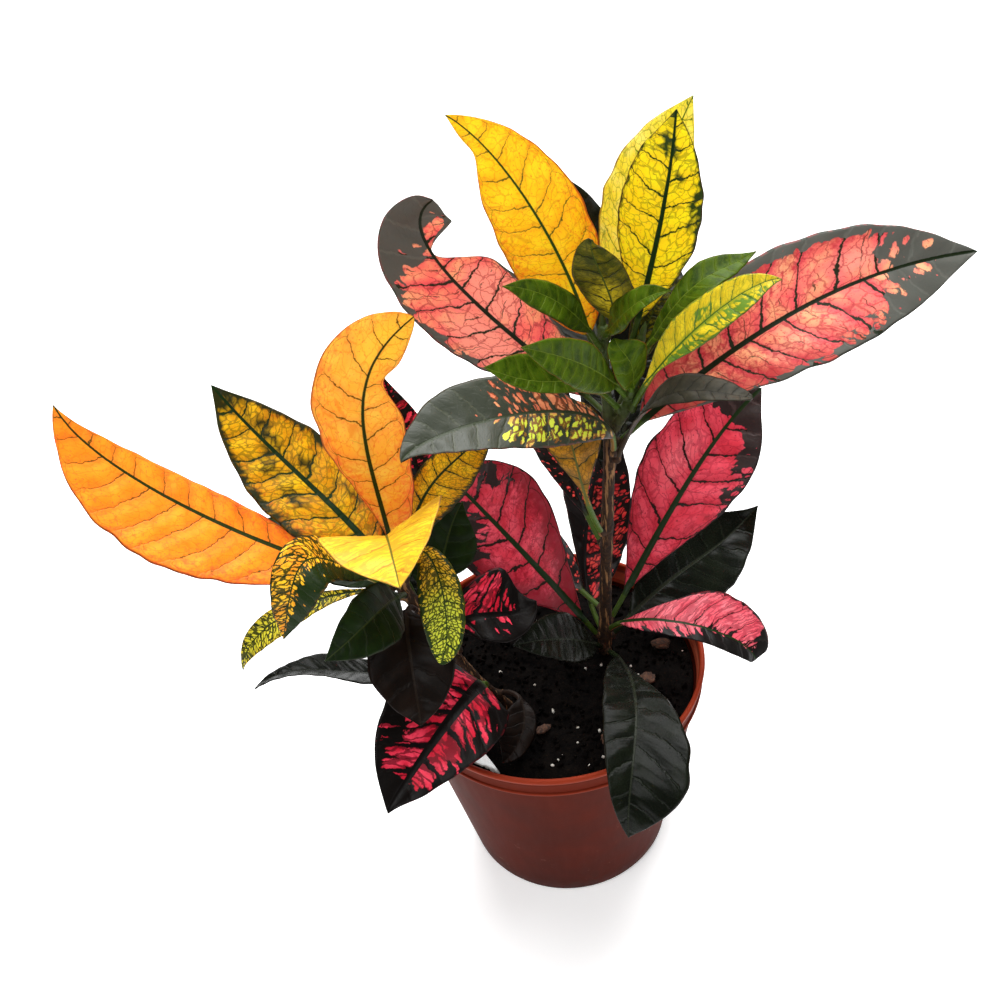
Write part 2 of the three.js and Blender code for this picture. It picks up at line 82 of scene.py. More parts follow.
# The leaves
BLADE_HALF = 0.35
RIB_DEPTH = 0.7
STALK_RADIUS = 1.2
STALK_LENGTH = 12
FOLD = 10
TIP_TAPER = 0.35
TAPER_FROM = 0.8
TIP_BLUNT = 0.8
EDGE_WAVE = 1.2
NOTCH_LENGTH = 0.08
FRAME_STEPS = 48
LENGTH_STEPS = 200
MESH_STEP = 1.15
LEAST_ACROSS = 14
TIP_ROWS = 1.3
STALK_INSIDE = 1.6
STALK_BLEND = 0.12
ROUND_FOLD = 0.003
ROUND_DROP = 0.0548
GROOVE_DEPTH = 0.35
GROOVE_WIDTH = 1.5
KEEL_WIDTH = 1.4
RIPPLE = 0.4
UNEVEN_EDGE = 0.05
VEIN_DRIFT = 4.5

# The side veins, on a leaf of full size: their spacing, its share across their slant, how they
# lean and bend to the tip, and how far a side's veins are from facing the other's
VEIN_SPACING = 13
VEIN_SLANT = 0.88
VEIN_LEAN = 0.42
VEIN_BEND = 0.012
VEIN_OFFSET = 0.21
FULL_WIDTH = 44
SIZE_LIMITS = (0.42, 1.1)
QUILT = 0.36

# How far apart in the patterns two leaves lie, along and beside them, and a leaf's two sides
LEAF_STRIDE = 37
LEAF_DEPTH = 11.0
SIDE_STRIDE = 60.0

# The plant label
LABEL_SIZE = (12, 0.8, 32)
LABEL_CORNER = 2.4
LABEL_EDGE = 0.14
LABEL_BOW = 0.66
LABEL_SHIFT = 0.35
LABEL_AT = (-36, -48, 105)
LABEL_LEAN = (0.1, -0.4, -0.65)

# Each stem is the list of points that its axis runs through, from the soil up.
STEMS = {
    "tall": dict(axis=[(26, 8, 106), (28, 5, 150), (31, 2, 200), (34, 1, 238)], radius=(2.9, 2.4)),
    "left": dict(axis=[(34, 1, 238), (33, 3, 262), (34, 5, 286)], radius=(2.3, 1.7)),
    "right": dict(axis=[(34, 1, 238), (42, 4, 256), (49, 8, 277)], radius=(2.3, 1.7)),
    "front": dict(axis=[(34, 1, 238), (39, -4, 251), (43, -8, 266)], radius=(2.3, 1.7)),
    "side": dict(
        axis=[(-22, -18, 106), (-33, -21, 128), (-47, -24, 165), (-61, -25, 210)], radius=(2.8, 2.2)
    ),
}
ROOT_DEPTH = 14
JOINT_SWELL = 0.35
JOINT_REACH = 2.5
DRY_BARK = (250, 220)
GREEN_BARK = (232, 262)
STEM_VOXEL = 0.42


def leaf(name, stem, at, via, left, right, roll, finish, **more):
    """A leaf's row: the part's own measures, its finish, and where it is dark or flushed"""
    return dict(
        more, name=name, stem=stem, at=at, via=via, left=left, right=right, roll=roll, finish=finish
    )


# `tip` is where along the blade the dark tip starts, `edge` where across it the dark margin does,
# `dark` is the darkness all over, `lefty` and `righty` what each side has more of it, and `flush`
# the red flush. `spots` are places with more dark, and `gilt` those with more yellow: along,
# across, half length, half width, amount.
LEAVES = [
    leaf("leaf_top_yellow", "left", 270, [(23, 12, 306), (7, 22, 341), (-13, 30, 364)],
         (18, 0.4), (18, 0.5), 60, "yellow", notch=("left", 0.84, 0.45), flush=0.48, tip=0.98),
    leaf("leaf_top_back", "left", 260, [(35, 42, 276), (35, 62, 293), (28, 75, 316)],
         (22, 0.45), (15, 0.5), 10, "dark"),
    leaf("leaf_top_pale", "left", 280, [(51, 28, 301), (64, 42, 325), (78, 50, 350)],
         (22, 0.5), (14, 0.47), -50, "pale", flush=0.25, tip=0.95),
    leaf("leaf_top_golden", "right", 271, [(54, 14, 301), (62, 20, 330), (67, 26, 356)],
         (17, 0.56), (16, 0.52), -23, "gold", tip=0.92, edge=0.86, flush=0.3,
         spots=[(0.86, -0.2, 0.08, 0.5, 0.35), (0.6, 0.8, 0.14, 0.25, 0.3), (0.72, 0.3, 0.08, 0.2, 0.25),
                (0.35, 0.6, 0.2, 0.4, 0.1)]),
    leaf("leaf_young_olive", "left", 285, [(37, -1, 300), (32, -5, 318), (31, -7, 328)],
         (11, 0.5), (12, 0.53), 177, "olive", stalk=4, blunt=0.5, taper=0, dark=0.08,
         gilt=[(0.3, 0, 0.35, 0.9, 0.75)]),
    leaf("leaf_young_left", "left", 278, [(22, -8, 301), (10, -16, 316), (-2, -22, 324)],
         (8, 0.51), (6, 0.51), 65, "green"),
    leaf("leaf_young_right", "left", 283, [(39, -15, 302), (46, -21, 311), (54, -25, 315)],
         (7, 0.52), (6, 0.5), -57, "green", stalk=6),
    leaf("leaf_green_right", "right", 265, [(62, -1, 296), (77, 2, 304), (91, 5, 308)],
         (7, 0.6), (8, 0.5), -22, "green"),
    leaf("leaf_young_brown", "right", 256, [(55, 18, 280), (63, 23, 287), (72, 27, 287)],
         (7, 0.5), (8, 0.5), -29, "olive", stalk=6, dark=0.2),
    leaf("leaf_bright_right", "front", 258, [(56, -16, 284), (76, -22, 306), (91, -28, 315)],
         (10, 0.52), (10, 0.68), -35, "bright", righty=0.16, edge=0.86, flush=0.15,
         gilt=[(0.5, 0.05, 0.6, 0.22, 0.75)],
         spots=[(0.55, -0.3, 0.1, 0.3, 0.35), (0.3, 0.6, 0.15, 0.4, 0.35), (0.75, 0.5, 0.12, 0.4, 0.3)]),
    leaf("leaf_green_left", "front", 262, [(27, -24, 286), (14, -34, 301), (1, -42, 312)],
         (10, 0.5), (8, 0.5), 74, "green"),
    leaf("leaf_green_low", "front", 254, [(22, -18, 278), (9, -26, 286), (-12, -34, 301)],
         (5, 0.52), (10, 0.66), 53, "green"),
    leaf("leaf_young_tip", "front", 265, [(41, -16, 280), (38, -16, 287), (36, -11, 290)],
         (9, 0.5), (9, 0.5), 60, "green", stalk=4, blunt=0.6),
    leaf("leaf_coral_right", "tall", 234, [(83, 2, 269), (128, 6, 288), (176, 10, 292)],
         (26, 0.46), (24, 0.56), -48, "coral", tip=0.66, fading=0.36, edge=0.8, flush=0.82,
         gilt=[(0.7, -0.4, 0.15, 0.4, 0.6), (0.45, 0.5, 0.12, 0.4, 0.5)],
         spots=[(0.72, 0.85, 0.16, 0.3, 0.3), (0.55, -1, 0.25, 0.2, 0.35)]),
    leaf("leaf_grey_right", "tall", 228, [(50, -13, 261), (66, -23, 270), (82, -30, 269)],
         (8.5, 0.62), (7, 0.5), -7, "slate", blunt=0.4),
    leaf("leaf_coral_left", "left", 246, [(8, 28, 264), (-22, 34, 303), (-22, 29, 334)],
         (23, 0.57), (20, 0.46), 66, "coral", taper=0, blunt=0.33, notch=("right", 0.77, 0.98),
         tip=0.63, fading=0.32, edge=0.86, flush=0.4,
         gilt=[(0.52, 0.5, 0.16, 0.5, 1), (0.36, -0.5, 0.24, 0.5, 0.9)],
         spots=[(0.4, -1, 0.35, 0.2, 0.3), (0.66, 0.6, 0.12, 0.6, -0.5), (0.9, 0.55, 0.1, 0.5, -0.9),
                (0.7, -0.4, 0.08, 0.3, -0.4)]),
    leaf("leaf_grey_left", "tall", 232, [(17, -16, 264), (-21, -32, 276), (-45, -46, 275)],
         (17, 0.44), (17, 0.65), 29, "peach", dark=0.2, tip=0.5, fading=0.3, edge=0.84,
         gilt=[(0.4, -0.5, 0.4, 0.45, 1.1)]),
    leaf("leaf_ochre", "tall", 188, [(21, -4, 216), (18, 3, 237), (13, 8, 255)],
         (11, 0.7), (15, 0.7), 67, "ochre", stalk=22, dark=0.1, edge=0.9),
    leaf("leaf_back_high", "tall", 222, [(50, 30, 240), (64, 56, 262), (74, 80, 268)],
         (17, 0.55), (15, 0.5), -20, "dark"),
    leaf("leaf_back_left", "tall", 176, [(15, 34, 210), (7, 60, 238), (-1, 84, 250)],
         (13, 0.55), (13, 0.55), 15, "dotted", dark=0.5),
    leaf("leaf_back_middle", "tall", 196, [(36, 34, 212), (39, 62, 222), (41, 88, 214)],
         (11, 0.55), (10, 0.5), -6, "dark"),
    leaf("leaf_back_low", "tall", 134, [(10, 30, 140), (-6, 50, 144), (-22, 72, 134)],
         (14, 0.5), (15, 0.5), 14, "dotted", dark=0.5),
    leaf("leaf_low_back", "tall", 118, [(23, 40, 140), (32, 56, 171), (37, 66, 204)],
         (17, 0.72), (21, 0.42), -3, "dotted", dark=0.2, lefty=0.7, edge=0.8, tip=0.6, fading=0.3),
    leaf("leaf_low_right", "tall", 125, [(52, 26, 151), (80, 44, 183), (110, 58, 208)],
         (25, 0.6), (24, 0.64), -33, "pink", tip=0.78, fading=0.14, edge=0.92, flush=0.4,
         gilt=[(0.6, -0.4, 0.2, 0.4, 0.6)],
         spots=[(0.75, 0.9, 0.2, 0.3, 0.5), (0.76, -0.4, 0.06, 0.4, -0.4)]),
    leaf("leaf_low_black", "tall", 115, [(61, 28, 126), (88, 54, 118), (113, 66, 131)],
         (21, 0.5), (22, 0.46), -32, "dark", taper=0.6),
    leaf("leaf_low_pink", "tall", 126, [(47, -12, 143), (73, -20, 138), (88, -27, 125)],
         (19.5, 0.68), (9.5, 0.5), -10, "rose", taper=0, blunt=0.24, tip=0.9, edge=0.88,
         dark=0.03, spots=[(0.85, 0.55, 0.35, 0.6, 0.6), (0.6, 0.9, 0.4, 0.4, 0.3)]),
    leaf("leaf_low_front", "tall", 110, [(32, -42, 132), (25, -78, 133), (19, -96, 109)],
         (24, 0.72), (15, 0.47), 11, "dark"),
    # Its deep red flush is partly its own colour and partly painted shade, as this leaf lies in the
    # shade of those above.
    leaf("leaf_low_left", "tall", 120, [(3, 4, 161), (-15, 12, 188), (-36, 18, 221)],
         (24, 0.64), (26, 0.67), 47, "pink", tip=0.9, fading=0.3, edge=0.95, flush=0.95,
         gilt=[(0.4, 0.4, 0.2, 0.5, 0.4)], dark=0.02,
         spots=[(0.86, -0.6, 0.25, 0.7, 0.3), (0.6, -1, 0.3, 0.3, 0.25), (0.8, 0.7, 0.12, 0.3, 0.2)]),
    leaf("leaf_low_soil", "tall", 113, [(13, -12, 137), (-1, -24, 153), (-16, -34, 163)],
         (12, 0.5), (12, 0.5), 45, "dark"),
    leaf("leaf_side_amber", "side", 203, [(-98, -18, 217), (-144, -10, 252), (-169, -4, 291)],
         (27, 0.56), (11, 0.5), 33, "amber", flush=0.48, edge=0.98),
    leaf("leaf_side_golden", "side", 207, [(-79, -6, 227), (-99, 8, 249), (-117, 18, 276)],
         (21, 0.43), (19, 0.4), 31, "browned", stalk=6, tip=0.78, fading=0.3, edge=0.68, flush=0.56,
         dark=0.05, spots=[(0.5, 0.3, 0.05, 0.2, 0.35), (0.66, 0.2, 0.05, 0.2, 0.35),
                           (0.6, -0.25, 0.06, 0.25, 0.4), (0.42, -0.4, 0.07, 0.2, 0.35),
                           (0.25, 0.7, 0.1, 0.3, 0.3), (0.75, 0.35, 0.07, 0.25, 0.3)]),
    leaf("leaf_side_orange", "side", 209, [(-59, -20, 253), (-56, -12, 284), (-34, -8, 309)],
         (21, 0.7), (16, 0.42), -64, "orange", stalk=6, taper=0, blunt=0.6,
         notch=("right", 0.72, 0.5), flush=0.5,
         gilt=[(0.95, 0.2, 0.3, 0.9, 0.9)]),
    leaf("leaf_side_crimson", "side", 196, [(-45, 4, 215), (-46, 12, 240), (-51, 18, 268)],
         (15, 0.5), (11, 0.5), -9, "crimson", dark=0.3),
    leaf("leaf_side_inner", "side", 202, [(-43, -16, 232), (-29, -13, 246), (-12, -10, 259)],
         (8, 0.5), (13, 0.5), -54, "browned", dark=0.1, edge=0.75, flush=0.5),
    leaf("leaf_side_bright", "side", 209, [(-56, -44, 241), (-53, -64, 252), (-50, -86, 254)],
         (25, 0.44), (24, 0.52), -8, "clear", blunt=0.75, fold=18, flush=0.3, tip=0.96),
    leaf("leaf_side_streaked", "side", 200, [(-79, -40, 229), (-88, -54, 240), (-99, -62, 214)],
         (13, 0.52), (10, 0.49), 34, "streaked", dark=0.04, lefty=0.75, edge=0.85, flush=0.4),
    leaf("leaf_side_small", "side", 192, [(-83, -28, 200), (-109, -36, 197), (-124, -42, 180)],
         (7, 0.6), (5, 0.6), 31, "streaked", dark=0.12, gilt=[(0.6, 0, 0.9, 1.5, 0.9)]),
    leaf("leaf_side_grey", "side", 172, [(-71, -32, 156), (-95, -38, 169), (-122, -42, 168)],
         (13, 0.4), (12, 0.42), -20, "dark"),
    leaf("leaf_side_green", "side", 195, [(-61, -50, 212), (-69, -66, 218), (-83, -78, 216)],
         (13, 0.5), (11, 0.5), 52, "deep"),
    leaf("leaf_side_brown", "side", 184, [(-56, -40, 192), (-56, -58, 180), (-56, -70, 164)],
         (18, 0.48), (18, 0.43), 8, "brown"),
    leaf("leaf_side_hanging", "side", 200, [(-43, -36, 221), (-39, -54, 210), (-44, -66, 193)],
         (8, 0.6), (10, 0.6), -11, "netted", taper=0.1, blunt=0.5, dark=0.05, edge=0.68,
         flush=0.5, tip=0.9, fading=0.3, gilt=[(0.8, 0, 0.35, 1.5, 1)]),
    leaf("leaf_side_dark", "side", 186, [(-42, -16, 194), (-36, -10, 206), (-28, -6, 220)],
         (11, 0.55), (14, 0.42), -32, "deep"),
    leaf("leaf_side_back", "side", 178, [(-64, 6, 200), (-76, 34, 216), (-84, 58, 216)],
         (14, 0.5), (14, 0.5), 20, "deep"),
    leaf("leaf_side_far", "side", 170, [(-49, 6, 192), (-46, 32, 200), (-46, 58, 194)],
         (12, 0.5), (13, 0.55), -10, "deep"),
    leaf("leaf_side_deep", "side", 152, [(-50, 8, 160), (-60, 34, 169), (-72, 58, 166)],
         (11, 0.5), (12, 0.55), 14, "dark"),
    leaf("leaf_side_behind", "side", 198, [(-83, 2, 187), (-99, 14, 199), (-115, 24, 200)],
         (11, 0.5), (6, 0.5), 16, "deep"),
    leaf("leaf_side_inward", "side", 154, [(-33, -27, 175), (-18, -25, 173), (-4, -22, 175)],
         (20, 0.58), (13, 0.56), -39, "crimson", dark=0.14, righty=0.4, edge=0.75, tip=0.6, fading=0.3),
    leaf("leaf_side_front", "side", 128, [(-40, -46, 146), (-60, -72, 144), (-74, -88, 136)],
         (22, 0.3), (28, 0.44), 31, "crimson", blunt=0.75, taper=0.5, dark=0.14, edge=0.5, tip=0.8),
    leaf("leaf_side_low", "side", 118, [(-16, -30, 122), (-18, -44, 118), (-28, -53, 112)],
         (6, 0.5), (12, 0.5), 17, "brown"),
]


def srgb(code):
    """A colour as the shaders take it, from its six-digit screen code"""
    channels = [int(code[i:i + 2], 16) / 255 for i in (0, 2, 4)]
    linear = [c / 12.92 if c < 0.04045 else ((c + 0.055) / 1.055) ** 2.4 for c in channels]
    return (*linear, 1.0)


# What each finish is painted with, over what they have in common. Widths are millimetres on a
# leaf of full size: `rib` for the midrib, `side` for the side veins, `net` for the fine net, `cell`
# for the size of its meshes and `stretch` for their length along the side veins. `spread` is how
# far the dark creeps along them, and `glow` how much light comes through the leaf.
# `painted_sheen` is a painted reflection: a grey haze colour laid over the dark islands.
COMMON_LOOK = dict(
    rib=2.2, side=0.3, net=0.1, cell=3.6, rough=0.42, glow=0.0, netting=0.4, thin=0.6, halo=0.5,
    stretch=1.0, fade=0.72, soft=0.05, spread=1.6, rimmed=0.8, veined=1.0, scatter=1.0, gloss=0.22,
    loops=0.8, painted_sheen="3c4036", gild="fae040", stalk="40561a", relief=0.35, wrinkle=0.3,
)
FINISHES = {
    "yellow": dict(
        slot="leaf_yellow", light="ffe62a", deep="ffda1e", near="fcbc22", vein="6c6c18", mesh="c8860e",
        dark="4c5414", flush="e8541c", rib_colour="2c4a12", rim="a8481c", rib=1.6, side=0.2, cell=4.6,
        rough=0.46, glow=0.5, thin=0.4, halo=0.45,
    ),
    "pale": dict(
        slot="leaf_yellow", light="fff48c", deep="fbec50", near="eedc48", vein="6c8424", mesh="90983a",
        dark="4c5436", flush="d87c34", rib_colour="3c6c1c", rim="7a4020", rib=1.4, side=0.22, net=0.14,
        cell=3.4, rough=0.46, glow=0.5, netting=0.5, halo=0.4,
    ),
    "gold": dict(
        slot="leaf_gold", light="fff424", deep="ffe81c", near="fcdc26", vein="223e0c", mesh="8c8414",
        dark="34480e", flush="cc641a", rib_colour="12300c", rim="4c280c", rib=3.2, side=0.34, net=0.16,
        rough=0.44, glow=0.5, netting=0.55, halo=0.4, stretch=1.2, fade=0.95, soft=0.3, spread=0.8,
        scatter=0.5,
    ),
    "browned": dict(
        slot="leaf_gold", light="f8cc1c", deep="e8ac12", near="c08c10", vein="1e380c", mesh="6a5810",
        dark="2c300a", flush="cc4c0c", rib_colour="163210", rim="36200a", rib=2.8, side=0.36, net=0.2,
        cell=2.8, rough=0.44, glow=0.4, netting=0.55, stretch=1.3, fade=0.95, soft=0.38, spread=0.7,
        scatter=0.4,
    ),
    "bright": dict(
        slot="leaf_bright", light="ccb420", deep="bca218", near="a0921a", vein="345814", mesh="747a1a",
        dark="54741c", flush="e47c1a", rib_colour="345414", rim="6c5a1c", rib=1.7, net=0.14, cell=3.2,
        rough=0.46, netting=0.45, stretch=1.6, fade=0.85, soft=0.2, scatter=0.6, gild="6c7c18",
    ),
    "clear": dict(
        slot="leaf_bright", light="dcba2a", deep="d2ac1e", near="caa020", vein="a87018", mesh="bc8824",
        dark="6c602c", flush="c4682a", rib_colour="5c5814", rim="8c5a2a", rib=1.2, side=0.24, net=0.2,
        cell=1.8, rough=0.5, netting=0.7, halo=0.6, stretch=5.0, soft=0.2,
    ),
    # The coral's dark colour is a lightened grey: partly the tips' own dark, partly painted sheen.
    "coral": dict(
        slot="leaf_coral", light="ffc494", deep="fc8c7c", near="f26470", vein="26301e", mesh="b03c42",
        dark="5e625b", flush="bc2836", rib_colour="16240c", rim="3c4036", side=0.4, net=0.16, cell=4.4,
        glow=0.42, netting=0.6, thin=0.85, halo=0.85, fade=0.95, painted_sheen="787c73", gild="ffb4a0",
    ),
    "peach": dict(
        slot="leaf_coral", light="e69868", deep="cc6c4c", near="b4543e", vein="2a3220", mesh="74381f",
        dark="2e3228", flush="bc3438", rib_colour="2c3420", rim="3a3428", side=0.5, net=0.36, cell=3.0,
        rough=0.44, netting=0.9, stretch=2.0, fade=0.95, painted_sheen="484c3c", gild="c4d03c",
    ),
    "pink": dict(
        slot="leaf_pink", light="ee5c70", deep="dc3c50", near="be2238", vein="20140e", mesh="a41c34",
        dark="2a201f", flush="7a0a18", rib_colour="183010", rim="1a060c", rib=3.0, side=0.4, net=0.18,
        glow=0.35, thin=0.5, stretch=1.3, fade=0.95, painted_sheen="5c4c4a", gild="ff8c98",
    ),
    "rose": dict(
        slot="leaf_pink", light="ff8894", deep="f46476", near="d83c50", vein="24160e", mesh="9c2034",
        dark="0c0a08", flush="a8182c", rib_colour="1c3410", rim="1a060c", rib=2.4, side=0.26, net=0.3,
        cell=2.6, glow=0.3, netting=0.55, thin=1.0, stretch=4.5, fade=0.95, spread=1.0, painted_sheen="2c2624",
    ),
    "crimson": dict(
        slot="leaf_pink", light="f0405a", deep="cc1c34", near="a01026", vein="0c0406", mesh="5c0a18",
        dark="0a0706", flush="8c0818", rib_colour="080504", rim="100606", rib=4.6, side=0.8, net=0.3,
        cell=2.8, netting=0.8, stretch=2.8, fade=0.95, gloss=0.1, painted_sheen="120c0a",
    ),
    "dotted": dict(
        slot="leaf_pink", light="f85a4c", deep="e83a3c", near="c02028", vein="120608", mesh="6a0c1c",
        dark="0c0806", flush="8c0818", rib_colour="0c0806", rim="140808", rib=2.6, side=0.6, net=0.36,
        cell=2.8, rough=0.4, netting=0.85, stretch=1.2, fade=0.95, painted_sheen="16100e",
    ),
    "amber": dict(
        slot="leaf_amber", light="ffb42e", deep="fca024", near="f6842c", vein="6c5414", mesh="e07c18",
        dark="6a4010", flush="f0543c", rib_colour="2a3c10", rim="843414", side=0.2, cell=4.8,
        rough=0.46, glow=0.42, thin=0.25, halo=0.45, soft=0.25, scatter=0.6, gild="ffd23c",
    ),
    "orange": dict(
        slot="leaf_amber", light="ffdc5c", deep="ffcc4c", near="ffb450", vein="6c5414", mesh="ea8420",
        dark="6a4010", flush="f4603e", rib_colour="2a3c10", rim="a04020", side=0.22, cell=4.8,
        rough=0.46, glow=0.5, thin=0.3, soft=0.25, scatter=0.6, gild="ffd848",
    ),
    "ochre": dict(
        slot="leaf_gold", light="bc8016", deep="8e5e10", near="6a5010", vein="242c08", mesh="52440e",
        dark="32260a", flush="822c08", rib_colour="54561e", rim="42260e", rib=1.8, side=0.34, net=0.2,
        cell=3.2, rough=0.44, netting=0.6, soft=0.2,
    ),
    "streaked": dict(
        slot="leaf_streaked", light="f2bc28", deep="e48c20", near="b87c18", vein="182608",
        mesh="2c300a", dark="18280a", flush="d04814", rib_colour="1e2e0a", rim="32260e", rib=1.8,
        side=0.5, net=0.3, cell=3.0, netting=0.95, stretch=2.0, fade=0.95, gloss=0.12, painted_sheen="1e2c10",
        gild="c8c030",
    ),
    "netted": dict(
        slot="leaf_streaked", light="f0c830", deep="d0a424", near="94801c", vein="1c2c0a",
        mesh="26340c", dark="1e300c", flush="c4681c", rib_colour="24380e", rim="2c340e", rib=2.0,
        side=0.5, net=0.42, cell=3.2, netting=0.9, stretch=1.1, fade=0.95, gloss=0.12, painted_sheen="26340f",
        gild="c4cc3c",
    ),
    "green": dict(
        slot="leaf_green", light="3c520a", deep="243803", near="4a5c0c", vein="566a16", mesh="40540c",
        dark="162a02", flush="6a4a0c", rib_colour="5c6e1e", rim="6a3c12", rib=1.0, side=0.2, cell=3.0,
        rough=0.4, netting=0.35, thin=0.3, halo=0.6, veined=0.5, gloss=0.08, relief=0.6, wrinkle=0.6,
    ),
    "olive": dict(
        slot="leaf_green", light="6c6410", deep="3c4006", near="303406", vein="22280a", mesh="262a06",
        dark="1c2208", flush="5c2a08", rib_colour="3c4a18", rim="4c2a10", rib=1.6, side=0.4, net=0.2,
        cell=2.6, rough=0.38, netting=0.5, stretch=2.4, soft=0.3, gloss=0.1, gild="c8b020", relief=0.7,
    ),
    "dark": dict(
        slot="leaf_dark", light="10140c", deep="0a0d08", near="070906", vein="1a1f16", mesh="141810",
        dark="080a06", flush="22100c", rib_colour="20241a", rim="1e1a12", rib=1.8, rough=0.27,
        netting=0.15, halo=0.2, veined=0.7, gloss=0.08, stalk="1c2414", relief=0.6, wrinkle=1.0,
    ),
    "slate": dict(
        slot="leaf_dark", light="3c382c", deep="2c2a20", near="24221a", vein="201f18", mesh="2e2a22",
        dark="1c1c16", flush="3c1c18", rib_colour="221f16", rim="2e2418", rib=1.6, rough=0.5,
        netting=0.2, halo=0.3, gloss=0.12, stalk="302418",
    ),
    "deep": dict(
        slot="leaf_dark", light="142408", deep="0d1a06", near="0a1404", vein="1a280b", mesh="142008",
        dark="070e03", flush="241a06", rib_colour="2a3414", rim="201e0c", rib=1.8, rough=0.4,
        netting=0.15, halo=0.2, veined=0.7, gloss=0.1, stalk="26340f", relief=0.5, wrinkle=0.8,
    ),
    "brown": dict(
        slot="leaf_dark", light="180f0a", deep="0f0906", near="0b0705", vein="140e0a", mesh="120c08",
        dark="080504", flush="280f0c", rib_colour="201812", rim="1a100c", rib=2.0, rough=0.4,
        netting=0.15, halo=0.2, veined=0.7, gloss=0.08, stalk="241a14", relief=0.5, wrinkle=0.6,
    ),
}


class Value:
    """A socket of a material under way. Arithmetic on it adds Math nodes."""

    def __init__(self, paint, socket):
        self.paint = paint
        self.socket = socket

    def __add__(self, other):
        return self.paint.math("ADD", self, other)

    def __radd__(self, other):
        return self.paint.math("ADD", other, self)

    def __sub__(self, other):
        return self.paint.math("SUBTRACT", self, other)

    def __rsub__(self, other):
        return self.paint.math("SUBTRACT", other, self)

    def __mul__(self, other):
        return self.paint.math("MULTIPLY", self, other)

    def __rmul__(self, other):
        return self.paint.math("MULTIPLY", other, self)

    def __truediv__(self, other):
        return self.paint.math("DIVIDE", self, other)

    def __abs__(self):
        return self.paint.math("ABSOLUTE", self)


class Paint:
    """A material under way"""

    def __init__(self, name):
        self.material = bpy.data.materials.new(name)
        self.material.use_nodes = True
        self.tree = self.material.node_tree
        self.tree.nodes.clear()

    def node(self, kind, settings, inputs, outs=(0,)):
        """A node: its settings first, then its sockets' values or links. Gives the sockets `outs`."""
        made = self.tree.nodes.new(kind)
        for name, value in settings.items():
            setattr(made, name, value)
        for key, value in inputs.items():
            if isinstance(value, Value):
                self.tree.links.new(value.socket, made.inputs[key])
            else:
                made.inputs[key].default_value = value
        found = [Value(self, made.outputs[out]) for out in outs]
        return found[0] if len(found) == 1 else found

    def math(self, operation, *values):
        return self.node("ShaderNodeMath", {"operation": operation}, dict(enumerate(values)))

    def most(self, a, b):
        return self.math("MAXIMUM", a, b)

    def ramp(self, value, low, high):
        """0 below `low`, 1 above `high`, smooth between. `low` may be the greater one."""
        settings = {"interpolation_type": "SMOOTHSTEP"}
        return self.node("ShaderNodeMapRange", settings, {0: value, 1: low, 2: high, 3: 0.0, 4: 1.0})

    def mix(self, share, a, b):
        """From colour `a` to colour `b` by `share`. A colour is a socket or a screen code."""
        a, b = (srgb(colour) if isinstance(colour, str) else colour for colour in (a, b))
        return self.node("ShaderNodeMix", {"data_type": "RGBA"}, {0: share, 6: a, 7: b}, (2,))

    def layers(self, skin, *coats):
        """A colour under its coats, each given as its share and its colour"""
        for share, colour in coats:
            skin = self.mix(share, skin, colour)
        return skin

    def attribute(self, name):
        """A piece's own attribute, as a vector"""
        return self.node("ShaderNodeAttribute", {"attribute_name": name}, {}, (1,))

    def split(self, vector):
        return self.node("ShaderNodeSeparateXYZ", {}, {0: vector}, (0, 1, 2))

    def combine(self, x, y, z):
        return self.node("ShaderNodeCombineXYZ", {}, {0: x, 1: y, 2: z})

    def vector(self, operation, a, b):
        return self.node("ShaderNodeVectorMath", {"operation": operation}, {0: a, 1: b})

    def scaled(self, vector, factor):
        return self.node("ShaderNodeVectorMath", {"operation": "SCALE"}, {0: vector, 3: factor})

    def place(self):
        """Object coordinates, in metres"""
        return self.node("ShaderNodeTexCoord", {}, {}, (3,))

    def stretched(self, vector, factors):
        return self.vector("MULTIPLY", vector, factors)

    def noise(self, vector, scale, detail=2.0, rough=0.5, out=0):
        """Noise as a number, or as a colour with `out` 1"""
        inputs = {"Vector": vector, "Scale": scale, "Detail": detail, "Roughness": rough}
        return self.node("ShaderNodeTexNoise", {}, inputs, (out,))

    def cells(self, vector, scale, feature="F1", out=0):
        """A cell pattern's distance, or each cell's own colour with `out` 1"""
        inputs = {"Vector": vector, "Scale": scale}
        return self.node("ShaderNodeTexVoronoi", {"feature": feature}, inputs, (out,))

    def bump(self, height, distance, strength):
        inputs = {"Height": height, "Distance": distance, "Strength": strength}
        return self.node("ShaderNodeBump", {}, inputs)

    def shine(self, **sockets):
        """The Principled shader, each socket by its name with _ for a space"""
        inputs = {key.replace("_", " "): value for key, value in sockets.items()}
        return self.node("ShaderNodeBsdfPrincipled", {}, inputs)

    def done(self, shader):
        self.node("ShaderNodeOutputMaterial", {}, {"Surface": shader}, ())
        return self.material


